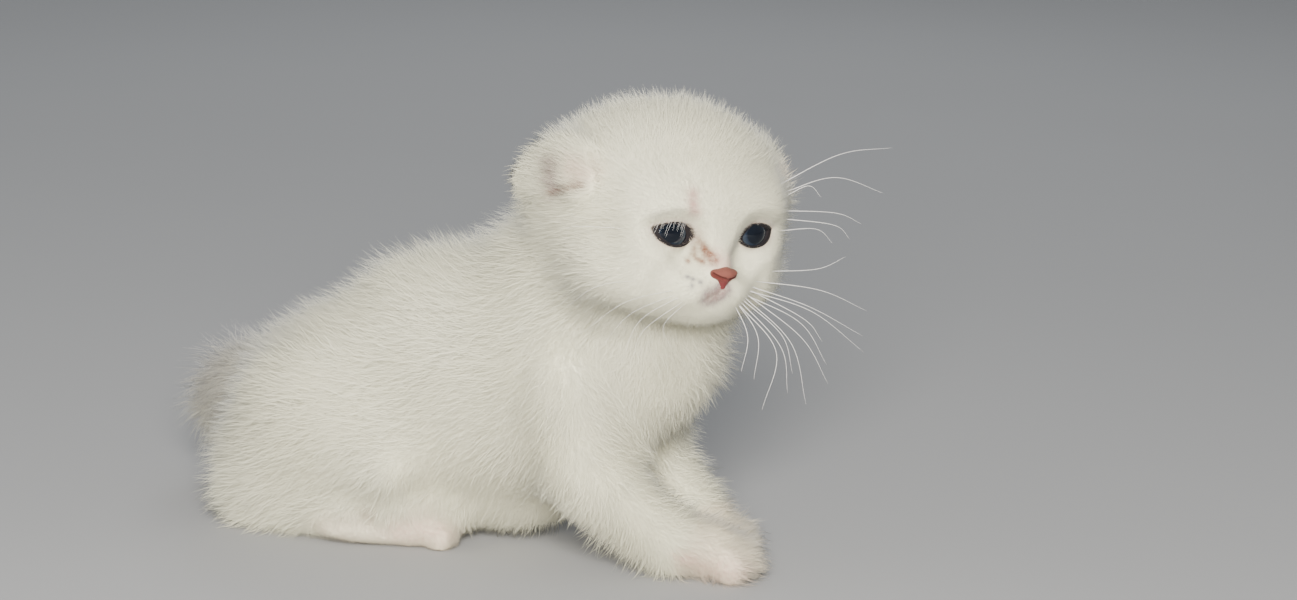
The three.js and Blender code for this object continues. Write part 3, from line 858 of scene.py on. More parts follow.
# On the face: the tint of each line or group of flecks, its strength and its radius
FACE_LINES = (
    (BRIDGE_LINE, "pink", 0.62, 2.8),
    (LIPS_LINE, "pink", 0.32, 2.3),
    (BROW_LINE, "pink", 0.6, 1.6),
    (STAIN_LINE, "stain", 1.1, 1.5),
    (LIPS_LINE, "stain", 0.35, 1.8),
    (BROW_LINE, "stain", 0.2, 1.3),
    (BROW_LINE, "grey", 0.5, 1.4),
    # Painted shade over the upper lid
    (UPPER_LID_SHADE_LINE, "grey", 0.45, 1.5),
    (LIPS_LINE, "grey", 3.0, 1.9),
)
FACE_FLECKS = ((STAIN_FLECKS, "stain", 0.9, 0.9), (GREY_FLECKS, "grey", 1.0, 0.7))
# On the ears, seen from the side: each line, its radius, and its share of pink, of brown and of grey. The
# first is painted shade in the ear's hollow, the second the real pink of the fold, the last a painted shadow
# under the flap's edge
EAR_MARKS = (
    # Painted shade in the hollow
    ([(-1.7, 0, 13.6), (-0.8, 0, 10.7), (0.6, 0, 7.9)], 2.7, 0.12, 0.28, 0.9),
    ([(6.2, 0, 13.8), (9.3, 0, 12.6)], 3.0, 0.45, 0, 0),
    # Painted shadow under the flap's lower edge
    ([(0.5, 0, 7.1), (6.7, 0, 8.4), (10, 0, 10.1)], 0.8, 0, 0.75, 0.6),
)
EARS_BESIDE = 20  # the ears are further than this from the middle of the head
NOWHERE = 99
# On the legs and feet, in the frame: the same for each
LEG_MARKS = (
    # Painted shade in the crease over the right hind foot
    ([(-12.0, -30.7, 10.9), (-10.4, -30.2, 9.7)], 1.3, 0, 0.5, 0.3),
    ([(71, -19.4, 7.2), (74, -18.6, 6.4), (77, -18, 5.1)], 1.6, 0.45, 0.05, 0),
    ([(-4, -28, 5), (6, -25, 5.5)], 4, 0.3, 0, 0),
    ([(78, -17, 3), (87, -17, 4)], 5, 0.35, 0, 0),
)
# The grey over the rump: mostly painted shade, with a little of the coat's own grey
RUMP_SHADE = ((-80, 0, 42), (29, 42, 38))  # middle and half size of the grey over the rump, in the frame
LID_TINTS, LID_TINT_WIDTH = (0.3, 0, 0.5), 1.1
EAR_INSIDE_TINTS = (0.5, 0, 0.12)
PAW_TINTS = (0.22, 0, 0)
# Painted shade over the rump, in grey
RUMP_TINTS = (0, 0, 1)


def patch(points, line, radius):
    return falloff(near_line(points, settled_line(line, -FACE_DEPTH)), radius)


def dots(points, places, radius):
    places = settled(head_form, np.array(places, float), -FACE_DEPTH)
    away = size_of(points[:, None] - places)
    return falloff(away, radius).sum(1)


def marks_of(points, shares):
    """The strength of each tint at each point."""
    p = to_head(points)
    marks = np.zeros((len(p), len(TINTS)))
    for make, marked in ((patch, FACE_LINES), (dots, FACE_FLECKS)):
        for places, tint, strength, radius in marked:
            marks[:, TINTS.index(tint)] += strength * make(p, places, radius)
    seen_sideways = np.where(np.abs(p[:, [1]]) > EARS_BESIDE, p * (1, 0, 1), NOWHERE)
    for here, marked in ((seen_sideways, EAR_MARKS), (points, LEG_MARKS)):
        for line, radius, *strengths in marked:
            marks += falloff(near_line(here, line), radius)[:, None] * strengths
    middle, half = RUMP_SHADE
    for share, strengths in (
        (falloff(np.maximum(beyond_lids(points), 0), LID_TINT_WIDTH), LID_TINTS),
        (shares[:, EAR_INSIDE], EAR_INSIDE_TINTS),
        (in_regions(shares, *PAW_SIZES), PAW_TINTS),
        # Painted shade over the rump
        (falloff(size_of((points - middle) / half), 1), RUMP_TINTS),
    ):
        marks += share[:, None] * strengths
    return np.clip(marks, 0, 1)


# The coat: hairs as closed, tapered and bent spikes of three sides, drawn into tufts along their lie

NOSE_TIP = np.array([30.0, 0, -7.0])
MOST_TRIANGLES = 190000  # in one piece of the coat
LIE_WAVES, LIE_UNEVEN = 22, 0.35  # how long the waves in the lie are, and their share of the way
COAT_WAVES, LIFT_WAVES, LENGTH_WAVES = 14, 9, 0.12  # the same for lift, in degrees, and for length
FRINGE_WAY, FRINGE_LONGER = (-1.5, 0, -0.4), 0.1
BARE_BELOW = 0.75  # share of the hairs that are missing where the skin faces the floor
# Each setting on the face, and on the snout and lids
FACE_SETTINGS = ((LENGTH, 2.2, 1.3), (LIFT, 34, 24), (WIDTH, 0.09, 0.075), (DENSITY, 14, 18))
CHEEK_LONGER = 2.2
UNDERSIDE_SHORTER = 0.45  # share of the length that is missing under the body
LENGTHS, WIDTHS = (0.65, 1.1), (0.75, 1.25)  # from the least to the most, as shares
LIFT_UNEVEN, ASIDE_UNEVEN = 10, 0.5  # degrees off the skin, and share of the way
LOWER_RISE, UPPER_FALL = 0.2, 0.3  # of a hair's two halves, in radians
ROOT_DEPTH = 0.5
TUFT_SPACING = 2.4
TUFT_PULL, TUFT_UNEVEN = 0.1, 0.06
# One in ten hairs is a guard hair: longer, wider, steeper and bent, with ten triangles. The others have four
GUARD_SHARE, GUARD_LENGTH, GUARD_WIDTH, GUARD_LIFT, GUARD_PULL = 0.1, 1.6, 1.2, 11, 0.3
GUARDED_FROM = 3.2  # where the coat is shorter, there are no guard hairs
PATCH_SIZE = 0.003  # of a hair on the unwrap


def along(ways, normals):
    """The ways turned to run along the skin."""
    return unit(ways - (ways * normals).sum(1)[:, None] * normals)


def lie_of(points, normals, edges, shares):
    """The way the coat lies at each point, along the skin."""
    local = to_head(points)
    ways = shares @ WAYS + shares[:, [HEAD]] * (unit(local - NOSE_TIP) @ HEAD_AXES.T)
    is_ear = in_regions(shares, "ear", "ear_inside")
    for side, ear in ears.items():
        mine = np.flatnonzero((is_ear > 0.02) & (local[:, 1] * SIDES[side] > 0))
        nearest, _ = ear.nearest(local[mine])
        ways[mine] += is_ear[mine][:, None] * (ear.outward[nearest] @ HEAD_AXES.T)
    ways = unit(ways + LIE_UNEVEN * waves(points, LIE_WAVES, 3))
    ways += fringe_share(normals, shares)[:, None] * np.array(FRINGE_WAY)
    for _ in range(3):
        ways = spread(along(ways, normals), edges, 6)
    return along(ways, normals)


def waves(points, length, columns):
    """Smooth unevenness from -1 to 1, with waves about this long, in so many columns."""
    draw = np.random.default_rng(int(length * 100) + columns)
    total = np.zeros((len(points), columns))
    for _ in range(6):
        way = draw.normal(0, 1, (3, columns))
        way *= 2 * math.pi / length / np.linalg.norm(way, axis=0) * draw.uniform(0.7, 1.4, columns)
        total += np.sin(points @ way + draw.uniform(0, 2 * math.pi, columns))
    return total / 3.5


def fringe_share(normals, shares):
    """1 on the underside of the front legs, where the hair is longer and hangs back."""
    return in_regions(shares, "front_upper_leg", "front_lower_leg") * ramp(-normals[:, 2], 0.1, 0.7)


def coat_settings(points, normals, shares):
    """Hair length, lift, width and number at each point, with the face shorter than the crown."""
    settings = shares @ SETTINGS[:, :5]
    ahead, _, up = to_head(points).T
    head = shares[:, HEAD]
    face = head * face_share(to_head(points))
    snout = head * ramp(ahead, 20, 27) * (1 - ramp(up, -4, 4)) * ramp(up, -20, -15)
    body = in_regions(shares, "torso", "neck", "thigh", "front_upper_leg")
    uneven = waves(points, COAT_WAVES, 2)
    settings[:, LIFT] += LIFT_WAVES * uneven[:, 0]
    fringe = 1 + FRINGE_LONGER * fringe_share(normals, shares)
    settings[:, LENGTH] *= (1 + LENGTH_WAVES * uneven[:, 1]) * fringe
    settings[:, LENGTH] *= 1 - UNDERSIDE_SHORTER * ramp(-normals[:, 2], 0, 0.7) * body
    settings[:, LENGTH] += CHEEK_LONGER * head * ramp(-up, 0, 12) * (1 - ramp(ahead, 4, 16))
    lids = 1 - ramp(beyond_lids(points), 0.3, 3.5)
    for column, short, shortest in FACE_SETTINGS:
        settings[:, column] += (short - settings[:, column]) * face
        settings[:, column] += (shortest - settings[:, column]) * np.maximum(snout, lids)
    return settings


def scattered(points, triangles, per_area):
    """Evenly scattered places on the surface: their triangle, and their nearness to its corners."""
    a, b, c = (points[triangles[:, i]] for i in range(3))
    area = size_of(np.cross(b - a, c - a)) / 2
    count = np.floor(area * per_area[triangles].mean(1) + rng.random(len(triangles))).astype(int)
    owner = np.repeat(np.arange(len(triangles)), count)
    near = rng.random((len(owner), 2))
    over = near.sum(1) > 1
    near[over] = 1 - near[over]
    return owner, np.column_stack([1 - near.sum(1), near])


def drawn_together(roots, tips, spacing, pull):
    """The tips moved towards the middle tip of their tuft."""
    cell = rng.random(3) * spacing
    order = rng.permutation(len(roots))
    key = np.floor((roots[order] + cell) / spacing).astype(int)
    _, first = np.unique(key, axis=0, return_index=True)
    centres = roots[order[first]]
    tree = tree_of(centres)
    tuft = np.array([tree.find(place)[1] for place in roots.tolist()])
    count = np.maximum(np.bincount(tuft, minlength=len(centres)), 1)
    middle = np.stack([np.bincount(tuft, tips[:, k], len(centres)) / count for k in range(3)], axis=1)
    return tips + (middle[tuft] - tips) * pull[:, None]


def at_places(values, triangles, owner, near):
    return (values[triangles[owner]] * near.reshape(near.shape + (1,) * (values.ndim - 1))).sum(1)


def grow_coat(points, triangles, uv):
    """The hairs of the whole skin."""
    edges = edges_of(triangles)
    normals = normals_of(points, triangles)
    shares = shares_of(points, triangles, 6)
    settings = coat_settings(points, normals, shares)
    lie = lie_of(points, normals, edges, shares)
    hidden = np.maximum(socket_share(points), BARE_BELOW * ramp(-normals[:, 2], 0.6, 0.9))
    return hairs_on(points, triangles, uv, normals, shares, settings, lie, hidden)


def hairs_on(points, triangles, uv, normals, shares, settings, lie, hidden):
    """Every hair: root, bend and tip, width, normal of the skin, marks, place on the unwrap and region."""
    owner, near = scattered(points, triangles, settings[:, DENSITY] * (1 - hidden))

    def here(values):
        return at_places(values, triangles, owner, near)

    root, up, way = here(points), unit(here(normals)), unit(here(lie))
    wanted = here(settings)
    count = len(root)
    guard = (rng.random(count) < GUARD_SHARE) & (wanted[:, LENGTH] > GUARDED_FROM)
    length = wanted[:, LENGTH] * rng.uniform(*LENGTHS, count) * np.where(guard, GUARD_LENGTH, 1)
    lift = np.radians(wanted[:, LIFT] + rng.normal(0, LIFT_UNEVEN, count) + np.where(guard, GUARD_LIFT, 0))
    way = unit(way + np.cross(up, way) * rng.normal(0, ASIDE_UNEVEN, count)[:, None])
    first, second = (
        way * np.cos(angle)[:, None] + up * np.sin(angle)[:, None]
        for angle in (lift + LOWER_RISE, lift - UPPER_FALL)
    )
    bend = root + first * (length * 0.5)[:, None]
    tip = bend + second * (length * 0.5)[:, None]
    pull = np.clip(rng.normal(TUFT_PULL, TUFT_UNEVEN, count), 0, 0.7) * ramp(length, 1.5, 5)
    moved = drawn_together(root, tip, TUFT_SPACING, pull * np.where(guard, GUARD_PULL, 1)) - tip
    tip = tip + moved
    bend = bend + moved * 0.3
    root = root - first * np.minimum(ROOT_DEPTH, length * 0.15)[:, None]
    for line in (bend, tip):
        line[:, 2] = np.maximum(line[:, 2], FLOOR_CLEARANCE)
    place = (uv.reshape(-1, 3, 2)[owner] * near[:, :, None]).sum(1)
    return dict(
        root=root,
        bend=bend,
        tip=tip,
        guard=guard,
        width=wanted[:, WIDTH] * rng.uniform(*WIDTHS, count) * np.where(guard, GUARD_WIDTH, 1),
        up=up,
        marks=marks_of(here(points), here(shares)),
        place=place,
        region=here(shares).argmax(1),
    )


def beyond_lids(points):
    """How far each point is from the nearer eye's opening, negative inside it."""
    local = to_head(points)
    away = np.full(len(points), 50.0)
    for side in SIDES:
        q = to_eye(side, local)
        near = (q[:, 0] > 0) & (size_of(q) < 13)
        away[near] = np.minimum(away[near], beyond(almond(side), q[near][:, 1:]))
    return away


def socket_share(points):
    """1 inside the eye openings and behind the nose leather, where no hair grows."""
    local = to_head(points)
    bare = 1 - ramp(beyond_lids(points), 0.15, 0.5)
    leather = np.zeros(len(points))
    near = size_of(local - NOSE_TIP) < 9
    leather[near] = 1 - ramp(nose_form(local[near]), 0.1, 0.4)
    return np.maximum(bare, leather)


BENT = np.array(
    [(0, 1, 2)]
    + [t for k in range(3) for t in ((k, 3 + (k + 1) % 3, (k + 1) % 3), (k, 3 + k, 3 + (k + 1) % 3))]
    + [(3 + (k + 1) % 3, 3 + k, 6) for k in range(3)]
)
STRAIGHT = np.array([(0, 1, 2), (1, 0, 3), (2, 1, 3), (0, 2, 3)])
SECTION = np.array([(-0.5, -0.18), (0.5, -0.18), (0.0, 0.36)])  # across and above, for a width of one
BENT_PATCH = np.array([(0, 0), (0.5, 0), (1, 0), (0, 0.5), (0.5, 0.5), (1, 0.5), (0.5, 1)]) - 0.5
STRAIGHT_PATCH = np.array([(0, 0), (0.5, 0), (1, 0), (0.5, 1)]) - 0.5


def hair_points(hairs, chosen, bent):
    """The corners of each hair, their heights along it and their soft normals."""
    root, bend, tip, up = (hairs[key][chosen] for key in ("root", "bend", "tip", "up"))
    width = hairs["width"][chosen]
    across = unit(np.cross(unit(tip - root), up))
    above = np.cross(across, unit(tip - root))
    rings = []
    for middle, share in ((root, 1.0), (bend, 0.8)) if bent else ((root, 1.0),):
        for x, z in SECTION:
            rings.append(middle + (across * x + above * z) * (width * share)[:, None])
    rings.append(tip)
    heights = [0, 0, 0, 0.5, 0.5, 0.5, 1] if bent else [0, 0, 0, 1]
    soft = unit(up * 0.93 + above * 0.07)
    return np.stack(rings, axis=1), np.tile(heights, len(chosen)), np.repeat(soft, len(rings), axis=0)


def hair_piece(name, hairs, chosen, material):
    points, triangles, heights, normals, marks, shade, uv = ([] for _ in range(7))
    start = 0
    for bent, faces, shape in ((True, BENT, BENT_PATCH), (False, STRAIGHT, STRAIGHT_PATCH)):
        some = chosen[hairs["guard"][chosen] == bent]
        corners, height, soft = hair_points(hairs, some, bent)
        per_hair = corners.shape[1]
        points.append(corners.reshape(-1, 3))
        first = start + per_hair * np.arange(len(some))[:, None, None]
        triangles.append((faces[None] + first).reshape(-1, 3))
        heights.append(height)
        normals.append(soft)
        marks.append(np.repeat(hairs["marks"][some], per_hair, axis=0))
        shade.append(np.repeat(rng.random(len(some)), per_hair))
        uv.append((hairs["place"][some][:, None] + shape[None] * PATCH_SIZE).reshape(-1, 2))
        start += per_hair * len(some)
    piece = new_mesh(name, np.concatenate(points), np.concatenate(triangles), [material])
    mesh = piece.data
    set_colours(mesh, "marks", np.concatenate(marks))
    set_values(mesh, "height", np.concatenate(heights))
    set_values(mesh, "shade", np.concatenate(shade))
    layer = mesh.uv_layers.new(name="OFBake")
    corners = rows_of(mesh.loops, "vertex_index", 1, np.int32)[:, 0]
    layer.uv.foreach_set("vector", np.concatenate(uv)[corners].astype(np.float32).ravel())
    mesh.normals_split_custom_set_from_vertices(np.concatenate(normals).astype(np.float32))
    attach(piece, "root")


def set_values(mesh, name, values):
    attribute = mesh.attributes.new(name, "FLOAT", "POINT")
    attribute.data.foreach_set("value", np.asarray(values, np.float32))


def set_colours(mesh, name, colours):
    attribute = mesh.attributes.new(name, "FLOAT_COLOR", "POINT")
    colours = np.column_stack([colours, np.ones(len(colours))])
    attribute.data.foreach_set("color", colours.astype(np.float32).ravel())


COAT_PIECES = {
    "coat_head": ("head",),
    "coat_ears": ("ear", "ear_inside"),
    "coat_neck": ("neck",),
    "coat_torso": ("torso",),
    "coat_tail": ("tail_base", "tail_middle", "tail_tip"),
    "coat_front_legs": ("front_upper_leg", "front_lower_leg", "front_paw"),
    "coat_hind_legs": ("thigh", "hind_lower_leg", "hind_paw"),
}


def coat_pieces(hairs, material):
    cost = np.where(hairs["guard"], len(BENT), len(STRAIGHT))
    for name, regions in COAT_PIECES.items():
        mine = np.flatnonzero(np.isin(hairs["region"], [list(REGIONS).index(r) for r in regions]))
        mine = mine[np.argsort(hairs["root"][mine, 0])]
        for i, chosen in enumerate(np.array_split(mine, math.ceil(cost[mine].sum() / MOST_TRIANGLES))):
            hair_piece(f"{name}_{i + 1}", hairs, chosen, material)


# Materials


def set_or_link(socket, value):
    if isinstance(value, bpy.types.NodeSocket):
        socket.id_data.links.new(value, socket)
    else:
        socket.default_value = value


def new_material(name, **settings):
    """A material, with functions that add a node with its inputs, and that link an input of the shader."""
    material = bpy.data.materials.new(name)
    material.use_nodes = True
    tree = material.node_tree
    shader = tree.nodes["Principled BSDF"]
    for key, value in settings.items():
        shader.inputs[key.replace("_", " ")].default_value = value

    def add(kind, options=None, **inputs):
        node = tree.nodes.new(kind)
        for key, value in (options or {}).items():
            setattr(node, key, value)
        for key, value in inputs.items():
            set_or_link(node.inputs[int(key[1:]) if key[0] == "_" else key.replace("_", " ")], value)
        return node

    def link(value, key):
        tree.links.new(value, shader.inputs[key])

    return material, add, link


def mixed(add, share, first, second):
    """The colour between two, each a socket or a colour."""
    node = add("ShaderNodeMix", {"data_type": "RGBA"}, _0=share)
    for socket, value in ((node.inputs[6], first), (node.inputs[7], second)):
        set_or_link(socket, (*value, 1) if isinstance(value, tuple) else value)
    return node.outputs[2]


def attribute(add, name, output="Fac"):
    return add("ShaderNodeAttribute", {"attribute_name": name}).outputs[output]


WHITE = (0.825, 0.805, 0.63)
CREAM = (0.775, 0.735, 0.52)
# The colour at the hairs' roots: painted shade between the hairs
ROOT_PAINTED_SHADE = (0.68, 0.635, 0.49)
PINK = (0.72, 0.40, 0.34)
# Brown: a real stain on the face, and painted shade in the ears and at a hock
STAIN_AND_SHADE = (0.20, 0.075, 0.04)
# Grey: real on the lips, muzzle and brow, and painted shade over an upper lid, in the ears, at a hock and
# over the rump
GREY = (0.225, 0.21, 0.215)
LID, LID_DARK = (0.018, 0.015, 0.016), (0.010, 0.009, 0.010)
WHISKER, WHISKER_DARK = (0.86, 0.84, 0.80), (0.76, 0.74, 0.70)
NOSE, NOSE_DARK = (0.20, 0.074, 0.055), (0.165, 0.052, 0.041)
# The nostrils' dark colour is painted shade inside their grooves
NOSE_PARTS = {"foot": (0.165, 0.034, 0.035), "nostril": (0.05, 0.006, 0.006)}
FLOOR, FLOOR_PALER = (0.32, 0.32, 0.32), (0.35, 0.35, 0.35)


def fur_colour(add):
    """White over cream in broad clouds, with the markings and the painted shade on top."""
    place = add("ShaderNodeTexCoord").outputs["Object"]
    cloud = add("ShaderNodeTexNoise", Vector=place, Scale=22.0, Detail=3.0, Roughness=0.5)
    colour = mixed(add, cloud.outputs["Fac"], WHITE, CREAM)
    marks = add("ShaderNodeSeparateColor", Color=attribute(add, "marks", "Color"))
    speckle = add("ShaderNodeTexNoise", Vector=place, Scale=900.0, Detail=2.0, Roughness=0.6).outputs["Fac"]
    uneven = add("ShaderNodeMapRange", Value=speckle, From_Min=0.3, From_Max=0.65, To_Min=0.55, To_Max=1.0)
    uneven = uneven.outputs["Result"]
    for channel, tint in (("Blue", GREY), ("Red", PINK), ("Green", STAIN_AND_SHADE)):
        share = add("ShaderNodeMath", {"operation": "MULTIPLY"}, _0=marks.outputs[channel], _1=uneven)
        colour = mixed(add, share.outputs["Value"], colour, tint)
    return colour, place


def coat_material():
    sheen = {"Sheen_Weight": 0.25, "Sheen_Roughness": 0.5}
    material, add, link = new_material("coat", Roughness=0.75, Specular_IOR_Level=0.25, **sheen)
    colour, _ = fur_colour(add)
    # Darker towards each hair's root: painted shade between the hairs
    root = add("ShaderNodeMapRange", Value=attribute(add, "height"), From_Max=0.7, To_Min=0.25, To_Max=0.0)
    colour = mixed(add, root.outputs["Result"], colour, ROOT_PAINTED_SHADE)
    value = add("ShaderNodeMapRange", Value=attribute(add, "shade"), To_Min=0.96, To_Max=1.04)
    colour = add("ShaderNodeHueSaturation", Color=colour, Value=value.outputs["Result"]).outputs["Color"]
    link(colour, "Base Color")
    return material


def skin_material():
    material, add, link = new_material("skin", Roughness=0.8, Specular_IOR_Level=0.2)
    colour, place = fur_colour(add)
    link(mixed(add, attribute(add, "lid"), colour, LID), "Base Color")
    down = add("ShaderNodeTexNoise", Vector=place, Scale=1400.0, Detail=4.0, Roughness=0.7)
    bump = add("ShaderNodeBump", Strength=0.35, Distance=0.0004, Height=down.outputs["Fac"])
    link(bump.outputs["Normal"], "Normal")
    return material


PUPIL_RADIUS = 2.7
IRIS_RADIUS = 4.5
EYE_SPAN = 10  # the distance from the eye's axis that the colour's stops count as 1


def eye_material():
    """A wide pupil in a slate-blue iris with a paler rim, dark at the edge and near black beyond it."""
    material, add, link = new_material("eye", Roughness=0.04, Specular_IOR_Level=0.3)
    parts = add("ShaderNodeSeparateColor", Color=attribute(add, "eye_place", "Color")).outputs
    across = add("ShaderNodeCombineXYZ", X=parts["Green"], Y=parts["Blue"])
    fine = add("ShaderNodeVectorMath", {"operation": "SCALE"}, _0=across.outputs["Vector"], Scale=40.0)
    flat = {"noise_dimensions": "2D"}
    streaks = add("ShaderNodeTexNoise", flat, Vector=fine.outputs["Vector"], Scale=1.0, Detail=3.0)
    sum_up = {"operation": "MULTIPLY_ADD"}
    wave = add("ShaderNodeMath", sum_up, _0=streaks.outputs["Fac"], _1=0.05, _2=parts["Red"])
    bands = add("ShaderNodeValToRGB", Fac=wave.outputs["Value"])
    pupil, iris = PUPIL_RADIUS / EYE_SPAN, IRIS_RADIUS / EYE_SPAN
    stops = (
        (0.0, (0.003, 0.004, 0.007)),
        (pupil, (0.004, 0.006, 0.010)),
        (pupil + 0.04, (0.014, 0.021, 0.034)),
        (iris - 0.03, (0.050, 0.060, 0.070)),
        (iris + 0.015, (0.006, 0.007, 0.010)),
        (iris + 0.08, (0.006, 0.006, 0.008)),
        (0.68, (0.011, 0.010, 0.012)),
    )
    elements = bands.color_ramp.elements
    while len(elements) < len(stops):
        elements.new(0.5)
    for element, (position, colour) in zip(elements, stops):
        element.position = position
        element.color = (*colour, 1)
    link(bands.outputs["Color"], "Base Color")
    return material


def leather_material(name, base, dark, roughness, parts=()):
    """Bare skin with a fine pebble; parts gives the colour that each of its attributes brings."""
    material, add, link = new_material(name, Roughness=roughness, Specular_IOR_Level=0.3)
    place = add("ShaderNodeTexCoord").outputs["Object"]
    pebble = add("ShaderNodeTexVoronoi", Vector=place, Scale=2600.0)
    cloud = add("ShaderNodeTexNoise", Vector=place, Scale=320.0, Detail=3.0)
    colour = mixed(add, cloud.outputs["Fac"], base, dark)
    for part, tint in dict(parts).items():
        colour = mixed(add, attribute(add, part), colour, tint)
    link(colour, "Base Color")
    bump = add("ShaderNodeBump", Strength=0.3, Distance=0.0002, Height=pebble.outputs["Distance"])
    link(bump.outputs["Normal"], "Normal")
    return material


def floor_material():
    material, add, link = new_material("floor", Roughness=0.85)
    place = add("ShaderNodeTexCoord").outputs["Object"]
    cloud = add("ShaderNodeTexNoise", Vector=place, Scale=3.0, Detail=4.0)
    link(mixed(add, cloud.outputs["Fac"], FLOOR, FLOOR_PALER), "Base Color")
    return material


# Small round things: whiskers, lashes and lids are tubes along a line


def tube(line, radii, sides=6, closed=False):
    """Points and triangles of a closed tube along a line, which may end in points or join itself."""
    line = np.asarray(line, float)
    radii = np.broadcast_to(radii, len(line)).astype(float)
    ahead = np.roll(line, -1, axis=0) - np.roll(line, 1, axis=0) if closed else np.gradient(line, axis=0)
    ahead = unit(ahead)
    across = np.empty_like(line)
    guide = np.array([0.0, 0, 1]) if abs(ahead[0, 2]) < 0.9 else np.array([1.0, 0, 0])
    for i, way in enumerate(ahead):
        guide = unit(guide - (guide @ way) * way)
        across[i] = guide
    above = np.cross(ahead, across)
    angle = np.arange(sides) * 2 * math.pi / sides
    ring = across[:, None] * np.cos(angle)[:, None] + above[:, None] * np.sin(angle)[:, None]
    points = (line[:, None] + ring * radii[:, None, None]).reshape(-1, 3)
    index = np.arange(len(points)).reshape(len(line), sides)
    index = np.concatenate([index, index[:, :1]], axis=1)
    if closed:
        index = np.concatenate([index, index[:1]])
    triangles = [halved(grid_quads(index))]
    if not closed:
        fan = np.arange(1, sides - 1)
        triangles.append(np.stack([fan * 0, fan, fan + 1], axis=1))
        triangles.append(np.stack([fan * 0, fan + 1, fan], axis=1) + (len(line) - 1) * sides)
    return outward_facing(points, np.concatenate(triangles))


# Eyes

CLEAR_BULGE, BULGE_FORWARD = 0.66, 0.46  # its radius and how far ahead it is, in radii of the ball


def eyeball(side, material):
    """The ball with its clear bulge in front, turned about the eye's axis."""
    bulge, forward = BALL_RADIUS * CLEAR_BULGE, BALL_RADIUS * BULGE_FORWARD
    meet = math.acos((forward**2 + BALL_RADIUS**2 - bulge**2) / (2 * forward * BALL_RADIUS))
    edge = math.atan2(BALL_RADIUS * math.sin(meet), BALL_RADIUS * math.cos(meet) - forward)
    back = np.linspace(math.pi, meet, 22)[:-1]
    front = np.linspace(edge, 0, 20)
    x = np.concatenate([BALL_RADIUS * np.cos(back), forward + bulge * np.cos(front)])
    r = np.concatenate([BALL_RADIUS * np.sin(back), bulge * np.sin(front)])
    r = np.convolve(np.pad(r, 1, mode="edge"), (0.2, 0.6, 0.2), "valid")
    r[[0, -1]] = 0.01
    line = np.column_stack([x, x * 0, x * 0])
    points, triangles = tube(line, r, sides=56)
    place = np.hypot(points[:, 1], points[:, 2])
    around = points[:, 1:] / np.maximum(place, 1e-6)[:, None]
    gaze = turn("Z", GAZE_ASIDE) @ turn("Y", -GAZE_UP)
    obj = new_mesh(f"eyeball_{side}", from_head(from_eye(side, points @ gaze.T)), triangles, [material])
    set_colours(obj.data, "eye_place", np.column_stack([place / EYE_SPAN, 0.5 + 0.5 * around]))
    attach(obj, "root")
    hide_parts(f"eye_{side}")


LID_RIM, LID_RIM_DEPTH = 0.34, 0.12


def lid_rim(side, material):
    """The bare edge of both lids, a thin dark roll round the opening."""
    flat = almond(side)
    x = np.sqrt(LID_RADIUS**2 - (flat**2).sum(1))
    line = np.column_stack([x - LID_RIM_DEPTH, flat])
    points, triangles = tube(line, LID_RIM, sides=8, closed=True)
    obj = new_mesh(f"lid_rim_{side}", from_head(from_eye(side, points)), triangles, [material])
    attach(obj, "root")


# Whiskers of the kitten's left side: root, a place half way and tip, in the head's frame

WHISKERS = [
    [(18, 22, 12), (12, 45, 20), (10, 63, 22)],
    [(18, 23, 10), (12, 44, 14), (11, 61, 10)],
    [(17, 25, 9), (15, 34, 12), (14, 39, 9)],
    [(19, 23, 6), (14, 44, 5), (12, 54, 2)],
    [(19, 23, 4), (15, 43, 2), (13, 50, -2)],
    [(20, 23, 1), (16, 37, 1), (14, 44, -3)],
    [(23, 18, -9), (18, 37, -9), (16, 47, -6)],
    [(25, 11, -11), (21, 36, -14), (18, 54, -20)],
    [(26, 10, -12), (23, 32, -18), (21, 51, -26)],
    [(26, 9, -13), (24, 32, -19), (22, 51, -30)],
    [(25, 11, -13), (24, 30, -21), (23, 37, -27)],
    [(26, 9, -14), (24, 29, -22), (23, 39, -33)],
    [(26, 10, -14), (24, 30, -26), (23, 40, -38)],
    [(27, 8, -14), (25, 26, -27), (24, 33, -43)],
    [(27, 8, -15), (25, 23, -25), (24, 28, -35)],
    [(27, 7, -15), (25, 23, -28), (24, 27, -40)],
    [(27, 7, -16), (26, 21, -29), (25, 19, -44)],
    [(27, 6, -15), (26, 15, -25), (26, 15, -36)],
    [(27, 6, -16), (26, 12, -25), (26, 11, -34)],
]
RIGHT_WHISKERS = WHISKERS[5::2]  # fewer, and mirrored
WHISKER_RADIUS = {"left": 0.14, "right": 0.055}
RIGHT_SPREAD = 0.66  # of the left side's reach
WHISKER_TAPER, LASH_TAPER = 0.8, 0.75


def whiskers(side, material):
    parts = []
    t = np.linspace(0, 1, 22)
    for places in WHISKERS if side == "left" else RIGHT_WHISKERS:
        places = np.array(places, float)
        if side == "right":
            places[1:] = places[0] + (places[1:] - places[0]) * RIGHT_SPREAD + rng.normal(0, 1, (2, 3))
        line = through(places * (1, SIDES[side], 1), t)
        parts.append(tube(from_head(line), WHISKER_RADIUS[side] * (1 - WHISKER_TAPER * t), sides=5))
    obj = new_mesh(f"whiskers_{side}", *joined_meshes(parts), [material])
    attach(obj, "root")


LASHES = {"left": 4, "right": 22}  # the right eye's lashes are the ones that hang over it
LASH_RADIUS = 0.036
LASH_REACH = (2.2, 4.4)
LEFT_LASH_SHARE = 0.4  # of that reach
LASH_FALL = [[0, 0], [0.35, 0.12], [0.75, -0.35], [1.0, -0.95]]  # outward and up, as shares of the reach
LASH_HEIGHT = (0, 0.8, 1.15, 1.0)  # off the lid


